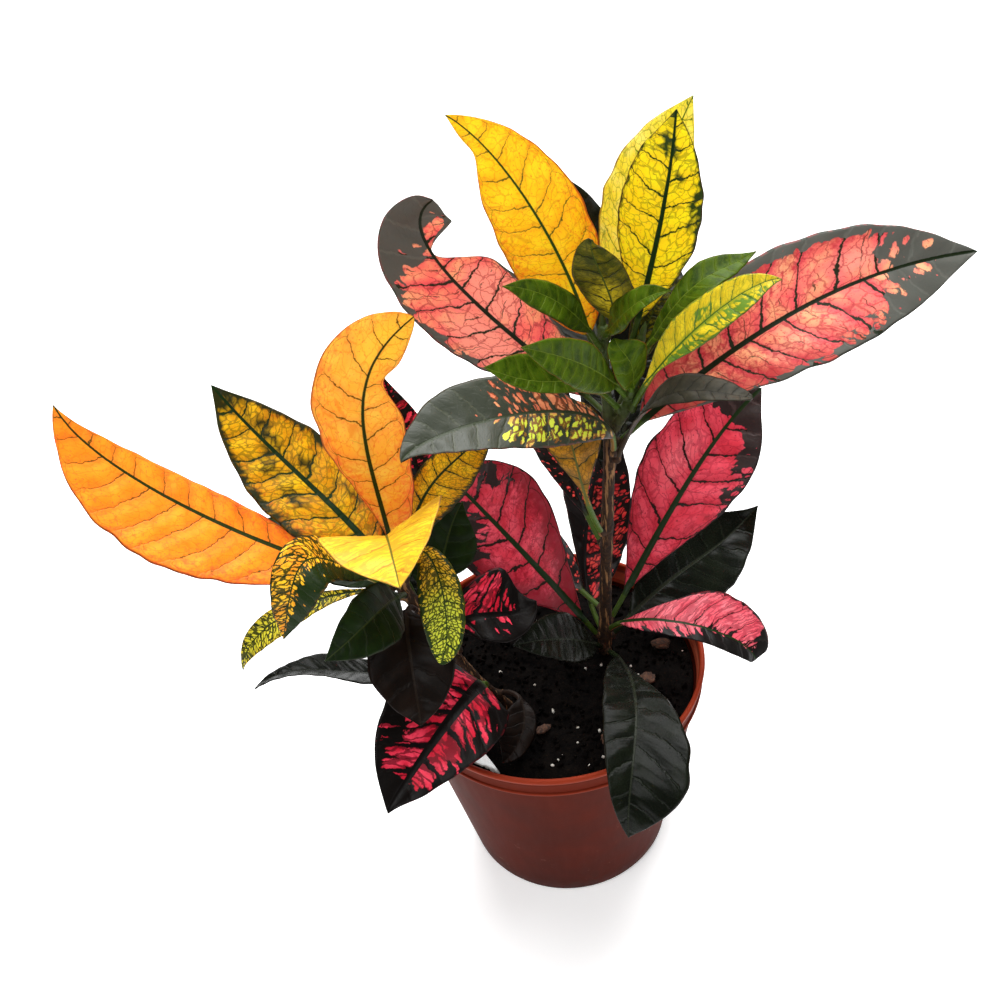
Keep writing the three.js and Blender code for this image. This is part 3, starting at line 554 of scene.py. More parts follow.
def leaf_material(finish):
    """A leaf's skin: veins, net, dark islands under a painted sheen, flush and gloss, laid out along its
    own length
    """
    look = {**COMMON_LOOK, **FINISHES[finish]}
    paint = Paint("leaf_" + finish)
    lay = paint.attribute("lay")
    along, across, lot = paint.split(lay)
    b, v, under = paint.split(paint.attribute("blade"))
    dark, flush, gild = paint.split(paint.attribute("tone"))
    wander = paint.vector("SUBTRACT", paint.noise(lay, 0.2, 3.0, 0.6, 1), (0.5, 0.5, 0.5))
    strayed = paint.vector("ADD", lay, paint.scaled(wander, 4.0))
    s, d = paint.split(strayed)[:2]
    away = abs(d)
    side = paint.math("SIGN", across)
    phase = (s - away * VEIN_LEAN - away * away * VEIN_BEND) / VEIN_SPACING
    phase = phase + side * VEIN_OFFSET
    between = abs(paint.math("FRACT", phase) - 0.5)
    to_vein = (0.5 - between) * (VEIN_SPACING * VEIN_SLANT)
    to_thin = (0.5 - abs(paint.math("FRACT", phase + 0.47) - 0.5)) * (VEIN_SPACING * VEIN_SLANT)
    at = paint.combine(phase * VEIN_SPACING, away / look["stretch"] + side * SIDE_STRIDE, lot)
    fine = paint.noise(lay, 1.1, 3.0, 0.6)
    broad = paint.noise(lay, 0.1, 3.0)
    cell = 1.0 / look["cell"]
    to_net = paint.cells(at, cell, "DISTANCE_TO_EDGE") * look["cell"]
    off_centre = paint.cells(at, cell)
    lottery = paint.split(paint.cells(at, cell, out=1))[0]
    uneven = fine * 1.6 + 0.2
    broken = paint.ramp(paint.noise(lay, 0.22, 2.0), 0.42, 0.58)

    spread = paint.most(dark - 0.05, 0.0) * look["spread"]
    width = (1.15 - 0.75 * abs(v)) * look["side"] * uneven
    veins = paint.ramp(to_vein - width - spread, 0.16, -0.08)
    thin = paint.ramp(to_thin - width * 0.4 - spread * 0.3, 0.14, -0.06) * broken * look["thin"]
    fade = paint.most(paint.ramp(abs(v), 0.98, look["fade"]), paint.ramp(dark, 0.1, 0.3))
    to_loop = away * abs(1.0 - (0.93 - between * between * 0.5) / paint.most(abs(v), 0.05))
    loops = paint.ramp(to_loop - width * 0.4, 0.16, -0.06) * paint.ramp(abs(v), 0.6, 0.78)
    veins = paint.most(paint.most(veins, thin) * fade, loops * look["loops"]) * look["veined"]
    mesh = paint.ramp(to_net - uneven * look["net"], 0.14, -0.05) * look["netting"]
    chance = (off_centre - 0.38) * 1.7 + (lottery - 0.5) * 0.9 + (fine - 0.5) * 0.5
    chance = (chance + (broad - 0.5) * 0.6) * look["scatter"]
    cover = dark * 1.6 - 0.08 + chance * paint.ramp(dark, 0.0, 0.25)
    patch = paint.ramp(cover, 0.5 - look["soft"], 0.5 + look["soft"])
    rib_line = abs(across) - (1.1 - 0.8 * b) * look["rib"] * 0.5 - spread * 0.15 + (fine - 0.5) * 0.3
    rib = paint.ramp(rib_line, 0.14, -0.12)
    mottle = paint.noise(lay, 0.42, 4.0, 0.65)
    red = paint.ramp(flush + (mottle - 0.5) * 1.1, 0.3, 0.75)
    freckle = paint.ramp(paint.noise(lay, 1.0, 2.0, 0.6) + flush * 0.14, 0.63, 0.72)
    edge = paint.ramp(abs(v) + (broad - 0.5) * 0.03, 0.955, 0.985)

    # Painted sheen: the dark islands are lightened towards a grey colour, most along the veins, as a
    # painted reflection of the light above.
    dark_with_painted_sheen = paint.mix(paint.ramp(to_vein, 0.9, 0.1) * 0.35 + fine * 0.2, look["dark"], look["painted_sheen"])
    skin = paint.layers(
        look["light"],
        (paint.ramp(broad, 0.36, 0.62), look["deep"]),
        (paint.ramp(to_vein, 3.6, 0.2) * look["halo"], look["near"]),
        (paint.ramp(mottle, 0.5, 0.7) * look["halo"], look["near"]),
        (paint.ramp(gild + (mottle - 0.5) * 0.5, 0.2, 0.8), look["gild"]),
        (paint.most(red, freckle * 0.9) * 0.7, look["flush"]),
        (mesh, look["mesh"]),
        (veins, look["vein"]),
        (patch, dark_with_painted_sheen),
        (edge * look["rimmed"], look["rim"]),
        (rib, look["rib_colour"]),
        (paint.ramp(b, 0.05, -0.04), look["stalk"]),
        (under * 0.3, look["near"]),
    )

    beside = lot + side * SIDE_STRIDE
    folds = paint.combine(along - abs(across) * VEIN_LEAN, abs(across) * 0.3, beside)
    wrinkle = paint.noise(folds, 0.22, 1.0, 0.5) * look["wrinkle"]
    height = fine * 0.05 - paint.ramp(to_vein, 1.0, 0.0) * 0.4 - mesh * 0.15 - rib * 0.3 + wrinkle
    normal = paint.bump(height, look["relief"] * MM, 0.8)
    gloss = fine * 0.16 + (look["rough"] - 0.08) + patch * -0.04
    shiny = paint.shine(
        Base_Color=skin, Roughness=gloss, Normal=normal, Specular_IOR_Level=look["gloss"]
    )
    if look["glow"]:
        through = paint.node("ShaderNodeBsdfTranslucent", {}, {"Color": skin, "Normal": normal})
        shiny = paint.node("ShaderNodeMixShader", {}, {0: look["glow"], 1: shiny, 2: through})
    return paint.done(shiny)


def pot_material():
    """Terracotta-coloured plastic with limescale and soot low down; painted highlight, shade and light
    at the rim
    """
    paint = Paint("pot_plastic")
    place = paint.place()
    x, y, z = paint.split(place)
    cloud = paint.noise(place, 38.0, 4.0, 0.6)
    streak = paint.noise(paint.stretched(place, (1.0, 1.0, 0.12)), 260.0, 3.0, 0.6)
    grain = paint.noise(place, 2600.0, 2.0, 0.5)
    high = (z + (cloud - 0.5) * 0.0006) / MM
    top = POT_HEIGHT - 2.4
    band = POT_HEIGHT - RIM_BAND
    # The rolled lip and the bead under the band carry a painted highlight: a brighter orange-red in
    # their colour.
    lip = paint.ramp(high, top - 0.8, top)
    bead = paint.ramp(high, band - 0.8, band - 0.2) * paint.ramp(high, band + 1.4, band + 0.8)
    # The hollows under the bead and under the lip are darkened as painted shade.
    groove = paint.ramp(high, band - 3.2, band - 1) * paint.ramp(high, band - 0.2, band - 0.8)
    groove = groove + paint.ramp(high, top - 3, top - 1.2) * paint.ramp(high, top, top - 0.8)
    away = paint.math("SQRT", x * x + y * y) / MM
    # Painted light: the inner wall above the soil on the right side is lightened, as if lit from the
    # front left.
    inside = paint.ramp(away, RIM_RADIUS - 2.03, RIM_RADIUS - 2.77) * paint.ramp(x, -0.02, 0.03)
    inside = inside * paint.ramp(high, band - 0.6, band)
    lime = paint.ramp(paint.noise(place, 90.0, 5.0, 0.7), 0.62, 0.75) * paint.ramp(z, 0.09, 0.02)
    soot = paint.ramp(paint.noise(place, 70.0, 5.0, 0.7) + paint.ramp(z, 0.01, 0.0) * 0.12, 0.54, 0.64)
    soot = soot * paint.ramp(z, 0.03, 0.002)
    skin = paint.layers(
        "441104",
        (paint.ramp(cloud, 0.3, 0.75), "521708"),
        (streak * 0.25, "300c06"),
        (paint.ramp(high, band - 0.2, band + 1) * 0.25, "7a2a16"),
        # painted light on the inner wall at the right
        (inside * 0.9, "c8684c"),
        # painted highlight on the lip and the bead
        (paint.most(lip * 0.9, bead * 0.6), "88301a"),
        # painted shade in the grooves
        (groove * 0.6, "240904"),
        (lime * 0.3, "b08a78"),
        (soot * 0.6, "3a1c14"),
    )
    rough = cloud * 0.15 + streak * 0.1 + (0.48 - lip * 0.16 - bead * 0.1)
    normal = paint.bump(grain * 0.25 + streak * 0.5, 0.15 * MM, 0.6)
    shiny = paint.shine(Base_Color=skin, Roughness=rough, Normal=normal, Specular_IOR_Level=0.05)
    return paint.done(shiny)


def soil_material():
    """Potting mix: its own dark brown painted down to near black as painted shade under the leaves, with
    brown fibres and a rough grain
    """
    paint = Paint("potting_mix")
    place = paint.place()
    clump = paint.noise(place, 240.0, 5.0, 0.65)
    fibre = paint.noise(paint.stretched(place, (1.0, 2.6, 1.4)), 900.0, 3.0, 0.6)
    fibres = paint.ramp(fibre, 0.62, 0.74) * 0.4
    # The base colours are darker than the mix itself, as painted shade.
    skin = paint.layers("030202", (paint.ramp(clump, 0.35, 0.7), "0b0705"), (fibres, "3c2a1c"))
    rough = 0.98 - clump * 0.25
    normal = paint.bump(clump + fibre * 0.5, 1.2 * MM, 0.9)
    shiny = paint.shine(Base_Color=skin, Roughness=rough, Normal=normal, Specular_IOR_Level=0.05)
    return paint.done(shiny)


def perlite_material():
    """Expanded volcanic glass: chalky white grains with pits, dusted with soil"""
    paint = Paint("perlite")
    place = paint.place()
    pits = paint.cells(place, 1600.0)
    dust = paint.noise(place, 700.0, 4.0, 0.6)
    skin = paint.mix(paint.ramp(dust, 0.42, 0.68), "d8d4ca", "6a5c4c")
    normal = paint.bump(pits, 0.3 * MM, 0.8)
    return paint.done(paint.shine(Base_Color=skin, Roughness=0.9 - dust * 0.1, Normal=normal))


def chip_material():
    """Weathered bark chips with layered edges"""
    paint = Paint("bark_chip")
    place = paint.place()
    layers = paint.noise(paint.stretched(place, (1.0, 1.0, 5.0)), 420.0, 4.0, 0.65)
    skin = paint.mix(paint.ramp(layers, 0.35, 0.65), "24150c", "553420")
    normal = paint.bump(layers, 0.6 * MM, 0.9)
    return paint.done(paint.shine(Base_Color=skin, Roughness=0.95 - layers * 0.15, Normal=normal))


def bark_material():
    """Young bark: dark brown with dry tan strips low down, turning green at the shoots' tips"""
    paint = Paint("stem_bark")
    place = paint.place()
    high = paint.split(place)[2] / MM
    strips = paint.noise(paint.stretched(place, (1.0, 1.0, 0.08)), 620.0, 4.0, 0.6)
    knots = paint.noise(place, 420.0, 4.0, 0.6)
    tan = paint.ramp(strips, 0.55, 0.62) * paint.ramp(high, *DRY_BARK)
    young = paint.ramp(high + (knots - 0.5) * 30.0, *GREEN_BARK)
    skin = paint.layers(
        "1c0f08",
        (paint.ramp(knots, 0.35, 0.65), "34200f"),
        (tan * 0.85, "8a6440"),
        (young * 0.85, "334412"),
    )
    rough = 0.85 - young * 0.3 + (strips - 0.5) * 0.2
    normal = paint.bump(strips * 0.7 + knots * 0.6, 0.7 * MM, 0.9)
    shiny = paint.shine(Base_Color=skin, Roughness=rough, Normal=normal, Specular_IOR_Level=0.25)
    return paint.done(shiny)


def label_material():
    """Blank white plastic, a little scuffed, dirty where it meets the soil; it glows a little, as
    painted light, to stay bright in the leaves' shade
    """
    paint = Paint("label_plastic")
    place = paint.place()
    high = paint.split(place)[2] / MM
    scuff = paint.noise(paint.stretched(place, (1.0, 1.0, 6.0)), 300.0, 4.0, 0.6)
    grime = paint.noise(place, 260.0, 5.0, 0.65)
    dirt = paint.ramp(high + (grime - 0.5) * 8.0, SOIL_LEVEL + 1.5, SOIL_LEVEL - 1.5)
    worn = paint.ramp(scuff, 0.5, 0.7) * 0.3
    skin = paint.layers("f0f2f2", (worn, "c8cccc"), (dirt * 0.8, "4a3a2c"))
    normal = paint.bump(scuff, 0.1 * MM, 0.4)
    through = paint.node("ShaderNodeBsdfTranslucent", {}, {"Color": skin, "Normal": normal})
    # Painted light: the emission makes the label glow, to keep it bright in the shade of the leaves
    # above.
    shiny = paint.shine(
        Base_Color=skin, Roughness=scuff * 0.2 + 0.3, Normal=normal, Emission_Color=skin,
        Emission_Strength=0.75,
    )
    return paint.done(paint.node("ShaderNodeMixShader", {}, {0: 0.5, 1: shiny, 2: through}))


def floor_material():
    """A white floor that glows a little, so that it stays as white as the background"""
    paint = Paint("studio_floor")
    white = (1, 1, 1, 1)
    shade = (0.9, 0.9, 0.9, 1)
    return paint.done(
        paint.shine(Base_Color=shade, Roughness=0.9, Emission_Color=white, Emission_Strength=0.41)
    )


def clamp(x, low=0.0, high=1.0):
    return min(max(x, low), high)


def smoothstep(x, low, high):
    t = clamp((x - low) / (high - low))
    return t * t * (3 - 2 * t)


def blend(a, b, share):
    return a + (b - a) * share


def sign(x):
    return math.copysign(1.0, x) if x else 0.0


def placed(name, data):
    """A new object in the scene"""
    made = bpy.data.objects.new(name, data)
    bpy.context.scene.collection.objects.link(made)
    return made


def meshed(name, bm):
    """A new object in the scene, with a mesh that is finished"""
    mesh = bpy.data.meshes.new(name)
    bm.to_mesh(mesh)
    bm.free()
    return placed(name, mesh)


def in_metres(bm):
    """The mesh that was modelled in millimetres, in metres"""
    bmesh.ops.scale(bm, vec=(MM, MM, MM), verts=bm.verts)
    return bm


def piece(name, bm, material, nodes=(), smooth=True):
    """A finished mesh as a piece of the object, in metres, riding on its one body"""
    made = meshed(name, bm)
    if smooth:
        made.data.shade_smooth()
    else:
        made.data.shade_flat()
    made.data.materials.append(material)
    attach(made, "root")
    if nodes:
        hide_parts(*nodes)
    return made


def applied(bm, name, modifiers):
    """The mesh after its modifiers, each given as its kind and settings"""
    held = meshed(name, bm)
    mesh = held.data
    for kind, settings in modifiers:
        modifier = held.modifiers.new(kind.lower(), kind)
        for key, value in settings.items():
            setattr(modifier, key, value)
    bpy.context.view_layer.update()
    seen = held.evaluated_get(bpy.context.evaluated_depsgraph_get())
    result = bmesh.new()
    result.from_mesh(seen.to_mesh())
    seen.to_mesh_clear()
    bpy.data.objects.remove(held)
    bpy.data.meshes.remove(mesh)
    return result


def spun(section, steps, merge):
    """A section, from the Z axis round to the Z axis again, turned once about it"""
    bm = bmesh.new()
    verts = [bm.verts.new((r, 0, z)) for r, z in section]
    edges = [bm.edges.new(pair) for pair in zip(verts, verts[1:])]
    bmesh.ops.spin(
        bm, geom=verts + edges, cent=(0, 0, 0), axis=UP, angle=2 * math.pi, steps=steps,
        use_merge=True, use_duplicate=False,
    )
    bmesh.ops.remove_doubles(bm, verts=bm.verts, dist=merge)
    bmesh.ops.recalc_face_normals(bm, faces=bm.faces)
    return bm


def stem_at(name, height):
    """The axis point, the direction and the radius of a stem at a height"""
    axis = [Vector(p) for p in STEMS[name]["axis"]]
    radius = STEMS[name]["radius"]
    i = 0
    while i < len(axis) - 2 and height > axis[i + 1].z:
        i += 1
    t = (height - axis[i].z) / (axis[i + 1].z - axis[i].z)
    whole = (height - axis[0].z) / (axis[-1].z - axis[0].z)
    point = axis[i].lerp(axis[i + 1], t)
    return point, (axis[i + 1] - axis[i]).normalized(), blend(radius[0], radius[1], clamp(whole))


class Rib:
    """The cubic curve from a start through two points at its thirds to its end, by its length"""

    def __init__(self, start, via):
        third, second, end = via
        one = (start * -5 + third * 18 - second * 9 + end * 2) / 6
        two = (start * 2 - third * 9 + second * 18 - end * 5) / 6
        self.knots = [start, one, two, end]
        self.lengths = [0.0]
        last = start
        for i in range(1, LENGTH_STEPS + 1):
            now = self.point(i / LENGTH_STEPS)
            self.lengths.append(self.lengths[-1] + (now - last).length)
            last = now
        self.length = self.lengths[-1]

    def point(self, t):
        a, b, c, d = self.knots
        r = 1 - t
        return a * (r * r * r) + b * (3 * r * r * t) + c * (3 * r * t * t) + d * (t * t * t)

    def slope(self, t):
        a, b, c, d = self.knots
        r = 1 - t
        return ((b - a) * (r * r) + (c - b) * (2 * r * t) + (d - c) * (t * t)).normalized()

    def share(self, u):
        """The curve's own parameter at the share `u` of its length"""
        goal = u * self.length
        i = 0
        while i < LENGTH_STEPS - 1 and self.lengths[i + 1] < goal:
            i += 1
        step = self.lengths[i + 1] - self.lengths[i]
        return (i + (goal - self.lengths[i]) / step) / LENGTH_STEPS


def midrib(row):
    """A stalk starts just clear of the bark, on the side of the stem that it leaves from."""
    via = [Vector(p) for p in row["via"]]
    point, along, radius = stem_at(row["stem"], row["at"])
    first = Rib(point, via).slope(0)
    lean = abs(first.dot(along))
    side = (first - along * first.dot(along)).normalized()
    return Rib(point + side * (radius + SEAT_GAP + STALK_RADIUS * lean), via)


def square(side, along):
    return (side - along * side.dot(along)).normalized()


def frames(rib, roll):
    """The blade's side vectors along its midrib, turned as little as they can be"""
    chord = (rib.knots[3] - rib.knots[0]).normalized()
    level = chord.cross(UP).normalized()
    side = Matrix.Rotation(-math.radians(roll), 3, chord) @ level
    along = [rib.slope(rib.share(i / FRAME_STEPS)) for i in range(FRAME_STEPS + 1)]
    sides = [side] * (FRAME_STEPS + 1)
    middle = FRAME_STEPS // 2
    sides[middle] = square(side, along[middle])
    for i in range(middle + 1, FRAME_STEPS + 1):
        sides[i] = square(sides[i - 1], along[i])
    for i in range(middle - 1, -1, -1):
        sides[i] = square(sides[i + 1], along[i])
    return sides


def half_width(row, left, b):
    """The half width of a leaf's side at `b` along the blade, from 0 at the stalk to 1 at the tip"""
    taper = row.get("taper", TIP_TAPER)
    blunt = row.get("blunt", TIP_BLUNT)
    most, widest = row["left"] if left else row["right"]
    arc = max(math.sin(math.pi * b ** (math.log(0.5) / math.log(widest))), 0.0)
    body = arc ** (TIP_BLUNT if b < widest else blunt)
    end = clamp((b - TAPER_FROM) / (1 - TAPER_FROM))
    bite = 0.0
    if "notch" in row and row["notch"][0] == ("left" if left else "right"):
        bite = row["notch"][2] * math.exp(-(((b - row["notch"][1]) / NOTCH_LENGTH) ** 2))
    return most * body * (1 - taper * end * end) * (1 - bite)


def patches(row, kind, b, v):
    """What a row's soft patches of a kind add up to at a place on the leaf"""
    total = 0.0
    for at_b, at_v, long, wide, amount in row.get(kind, ()):
        total += amount * math.exp(-(((b - at_b) / long) ** 2) - ((v - at_v) / wide) ** 2)
    return total


def darkness(row, b, v):
    """How dark a leaf is at a place, from 0 where it is all colour to 1 where it is all dark"""
    amount = row.get("dark", 0.0)
    amount += row.get("lefty" if v < 0 else "righty", 0.0) * smoothstep(abs(v), 0.05, 0.4)
    amount += smoothstep(b, row.get("tip", 2.0), row.get("tip", 2.0) + row.get("fading", 0.14))
    if "edge" in row:
        amount += 0.6 * smoothstep(abs(v), row["edge"], 1.04)
    return clamp(amount + patches(row, "spots", b, v))


def flushing(row, b, v):
    """How red a leaf flushes at a place: most at its margins and towards the stalk"""
    return row.get("flush", 0.0) * (0.15 + 0.75 * v * v + 0.75 * (1 - b) ** 2)


def gilding(row, b, v):
    """How yellow a leaf is at a place, over its own colours"""
    return clamp(patches(row, "gilt", b, v))


def stations(rib, roll, rows):
    """Where each row of a leaf's points stands: its share of the length, its place and its axes"""
    sides = frames(rib, roll)
    found = []
    for i in range(rows + 1):
        u = 1 - (1 - i / rows) ** TIP_ROWS
        t = rib.share(u)
        k = min(int(u * FRAME_STEPS), FRAME_STEPS - 1)
        along = rib.slope(t)
        across = square(sides[k].lerp(sides[k + 1], u * FRAME_STEPS - k), along)
        found.append((u, rib.point(t), along, across, across.cross(along)))
    start = found[0]
    found[0] = (start[0], start[1] - start[2] * STALK_INSIDE, *start[2:])
    return found


def relief(index, size, b, v, s, d, face):
    """How far a leaf's skin stands off its blade: quilting, ripples, the margin's wave, the groove"""
    # `b` and `v` are shares of the blade's length and of its half width, and `s` and `d` are the
    # distances along and across it, scaled to a leaf of full size.
    away = abs(d)
    side = sign(v)
    phase = (s + index * LEAF_STRIDE - away * VEIN_LEAN - away * away * VEIN_BEND) / VEIN_SPACING
    phase += VEIN_OFFSET * side
    quilt = -QUILT * size * math.cos(2 * math.pi * phase) * smoothstep(away, 0.5, 4)
    quilt *= 1 - v ** 4 * 0.6
    ripple = RIPPLE * size * noise.noise(Vector((s * 0.09 + index * 7, v * 1.5, index)))
    wave = EDGE_WAVE * math.sin(9 * b + 2.1 * index + side) * v * v * math.sin(math.pi * b)
    groove = 0.0
    if face > 0:
        groove = GROOVE_DEPTH * size * math.exp(-((d / GROOVE_WIDTH) ** 2)) * (1 - 0.6 * b)
    return wave + quilt + ripple - groove


def leaf_blade(row, index, materials):
    """A leaf by the part's own rule, in steps of about a millimetre, with its veins in relief"""
    rib = midrib(row)
    stalk = min(row.get("stalk", STALK_LENGTH), 0.3 * rib.length) / rib.length
    rise = math.tan(math.radians(row.get("fold", FOLD)))
    widest = row["left"][0] + row["right"][0]
    size = clamp(widest / FULL_WIDTH, *SIZE_LIMITS)
    rows = round(rib.length / MESH_STEP)
    half_ring = max(round(widest / MESH_STEP), LEAST_ACROSS)
    ring = 2 * half_ring
    bm = bmesh.new()
    bmesh.ops.create_grid(bm, x_segments=rows, y_segments=ring, size=1)
    lay = bm.verts.layers.float_vector.new("lay")
    blade_at = bm.verts.layers.float_vector.new("blade")
    tone = bm.verts.layers.float_vector.new("tone")
    places = stations(rib, row["roll"], rows)
    for vert in bm.verts:
        i = round((vert.co.x + 1) / 2 * rows)
        j = round((vert.co.y + 1) / 2 * ring)
        face = 1 if j <= half_ring else -1
        x = j / half_ring * 2 - 1 if face > 0 else 3 - j / half_ring * 2
        u, centre, along, across, normal = places[i]
        b = clamp((u - stalk) / (1 - stalk))
        blade = smoothstep(b, 0, STALK_BLEND)
        v = blend(math.sin(x * math.pi / 2), x, blade)
        wide = max(half_width(row, v < 0, b), blend(STALK_RADIUS, 0.25, smoothstep(b, 0.5, 1)))
        s = (u - stalk) * rib.length / size
        uneven = 1 + noise.noise(Vector((s * 0.11, sign(v) * 4, index * 5)))
        wide *= 1 - blade * UNEVEN_EDGE * uneven
        d = v * wide / size
        s += VEIN_DRIFT * noise.noise(Vector((s * 0.05, d * 0.04, index * 3.1)))
        fold = math.sqrt(v * v + ROUND_FOLD) - ROUND_DROP
        lift = blade * (fold * wide * rise + relief(index, size, b, v, s, d, face))
        stalk_skin = STALK_RADIUS * math.sqrt(max(1 - v * v, 0))
        keel = RIB_DEPTH * (1 - b) * math.exp(-((d / KEEL_WIDTH) ** 2)) if face < 0 else 0.0
        blade_skin = (BLADE_HALF * (1 - 0.45 * v ** 6) + keel) if abs(v) < 0.9999 else 0.0
        depth = blend(stalk_skin, blade_skin, blade)
        vert.co = centre + across * (v * wide) + normal * (lift + face * depth)
        vert[lay] = (s + index * LEAF_STRIDE, d, index * LEAF_DEPTH)
        vert[blade_at] = (b if u > stalk else -0.1, v, 1.0 if face < 0 else 0.0)
        vert[tone] = (darkness(row, b, v), flushing(row, b, v), gilding(row, b, v))
    bmesh.ops.remove_doubles(bm, verts=bm.verts, dist=0.004)
    open_edges = [e for e in bm.edges if e.is_boundary]
    bmesh.ops.holes_fill(bm, edges=open_edges, sides=0)
    bmesh.ops.recalc_face_normals(bm, faces=bm.faces)
    finish = row["finish"]
    name = row["name"].replace("leaf_", "blade_")
    return piece(name, in_metres(bm), materials[finish], [row["name"]])


def wall_radius(z):
    """The pot wall's radius at a height, inside the rim band or below it"""
    under = RIM_RADIUS - RIM_STEP - 1
    return blend(BASE_RADIUS, under, z / (POT_HEIGHT - RIM_BAND))


def pot_profile():
    """The wall in section, with a rolled lip above the rim band"""
    band = POT_HEIGHT - RIM_BAND
    profile = [(0, 0), (BASE_RADIUS - 2.5, 0), (BASE_RADIUS - 1.2, 0.25), (BASE_RADIUS - 0.4, 1.2)]
    profile += [(wall_radius(z), z) for z in (3, 12, 24, 36, 48, 60, 72, 84, 95, band - 0.8)]
    profile += [(RIM_RADIUS - 1.5, band - 0.5), (RIM_RADIUS - 1.1, band - 0.1)]
    profile += [(RIM_RADIUS - 1.0, band + 0.5), (RIM_RADIUS - 1.2, band + 1.0)]
    profile += [(RIM_RADIUS - 1.8, band + 1.4), (RIM_RADIUS - 1.6, POT_HEIGHT - 3.8)]
    profile += [(RIM_RADIUS - 1.2, POT_HEIGHT - 3.0), (RIM_RADIUS - 0.3, POT_HEIGHT - 2.5)]
    lip = RIM_RADIUS - 1.2
    for i in range(9):
        angle = math.radians(-25 + 25.6 * i)
        profile.append((lip + 1.2 * math.cos(angle), POT_HEIGHT - 1.2 + 1.2 * math.sin(angle)))
    profile += [(RIM_RADIUS - RIM_STEP - 1.0, POT_HEIGHT - 4), (RIM_RADIUS - RIM_STEP - 1.2, band + 1)]
    profile += [(wall_radius(z) - POT_WALL, z) for z in (band - 2, 84, 60, 36, 12, FLOOR_THICKNESS)]
    return profile + [(0, FLOOR_THICKNESS)]


def pot(material):
    """The pot, spun from its section and drilled for drainage"""
    bm = spun([(r * MM, z * MM) for r, z in pot_profile()], POT_STEPS, 0.001 * MM)
    drills = bmesh.new()
    for i in range(DRAIN_COUNT):
        angle = 2 * math.pi * (i + 0.5) / DRAIN_COUNT
        at = Vector((math.cos(angle), math.sin(angle), 0)) * DRAIN_CIRCLE * MM
        bmesh.ops.create_cone(
            drills, cap_ends=True, segments=40, radius1=DRAIN_RADIUS * MM,
            radius2=DRAIN_RADIUS * MM, depth=DRILL_LENGTH * MM, matrix=Matrix.Translation(at),
        )
    cutter = meshed("drills", drills)
    settings = {"operation": "DIFFERENCE", "solver": "EXACT", "object": cutter}
    result = applied(bm, "pot_blank", [("BOOLEAN", settings)])
    bpy.data.objects.remove(cutter)
    made = piece("pot_body", result, material, ["pot"])
    made.data.set_sharp_from_angle(angle=math.radians(50))
    return made


def soil_height(x, y):
    """The soil's height: low waves and a dip towards the rim"""
    swell = math.sin(0.11 * x + 1.3) * math.cos(0.13 * y + 0.4)
    ripple = 0.5 * math.sin(0.22 * x + 0.27 * y)
    edge = smoothstep(math.hypot(x, y), 48, 66)
    return SOIL_LEVEL + SOIL_RELIEF * (swell + ripple) - 1.5 * edge


def soil(material):
    """The fill of the pot: a lumpy top, a plain side and underside"""
    fill = [(wall_radius(z) - POT_WALL - SEAT_GAP - 0.15) for z in (FLOOR_THICKNESS, SOIL_LEVEL - 3)]
    reach = wall_radius(POT_HEIGHT - RIM_BAND - 2) - POT_WALL - SEAT_GAP - 0.6
    profile = [(0, FLOOR_THICKNESS + SEAT_GAP), (fill[0], FLOOR_THICKNESS + SEAT_GAP)]
    profile += [(fill[1], SOIL_LEVEL - 3)]
    profile += [(reach * (1 - i / SOIL_RINGS), SOIL_LEVEL) for i in range(SOIL_RINGS + 1)]
    bm = spun(profile, SOIL_STEPS, 0.001)
    for vert in bm.verts:
        if vert.co.z > SOIL_LEVEL - 1:
            x, y, z = vert.co
            lumps = noise.fractal(Vector((x, y, 3)) * 0.16, 0.7, 2.1, 5)
            grit = noise.noise(Vector((x, y, 9)) * 0.8)
            vert.co.z = soil_height(x, y) + 0.9 * lumps + 0.45 * grit
    return piece("soil_fill", in_metres(bm), material, ["soil"])


def grains(name, material, slot, count, seed, low, high):
    """Loose grains that lie half sunk on the soil, thicker near the rim"""
    chance = random.Random(seed)
    reach = wall_radius(SOIL_LEVEL) - POT_WALL - 1.5
    bm = bmesh.new()
    for i in range(count):
        radius = chance.uniform(low, high)
        r = reach * math.sqrt(chance.random())
        angle = chance.uniform(0, 2 * math.pi)
        r = min(r, reach - radius)
        x = r * math.cos(angle)
        y = r * math.sin(angle)
        at = Matrix.Translation((x, y, soil_height(x, y) + radius * 0.35))
        turn = Euler([chance.uniform(0, 6.28) for k in range(3)]).to_matrix().to_4x4()
        shape = Matrix.Diagonal((1, chance.uniform(0.6, 0.95), chance.uniform(0.5, 0.8), 1))
        made = bmesh.ops.create_icosphere(bm, subdivisions=1, radius=radius, matrix=at @ turn @ shape)
        for vert in made["verts"]:
            vert.co += noise.noise_vector(vert.co * 1.3) * radius * 0.35
    return piece(name, in_metres(bm), material, smooth=slot != "soil")


def bark_chips(material):
    """A few flat chips of bark on the soil"""
    chance = random.Random(8)
    bm = bmesh.new()
    for x, y, size in BARK_CHIPS:
        at = Matrix.Translation((x, y, soil_height(x, y) + 1.6 * size))
        turn = Euler((chance.uniform(-0.3, 0.3), chance.uniform(-0.3, 0.3), chance.uniform(0, 6)))
        shape = Matrix.Diagonal((6.5 * size, 4.2 * size, 2.2 * size, 1))
        whole = at @ turn.to_matrix().to_4x4() @ shape
        made = bmesh.ops.create_icosphere(bm, subdivisions=3, radius=1, matrix=whole)
        for vert in made["verts"]:
            vert.co += noise.noise_vector(vert.co * 0.45) * 1.6 * size
            vert.co += noise.noise_vector(vert.co * 1.6) * 0.5 * size
    return piece("bark_chips", in_metres(bm), material)


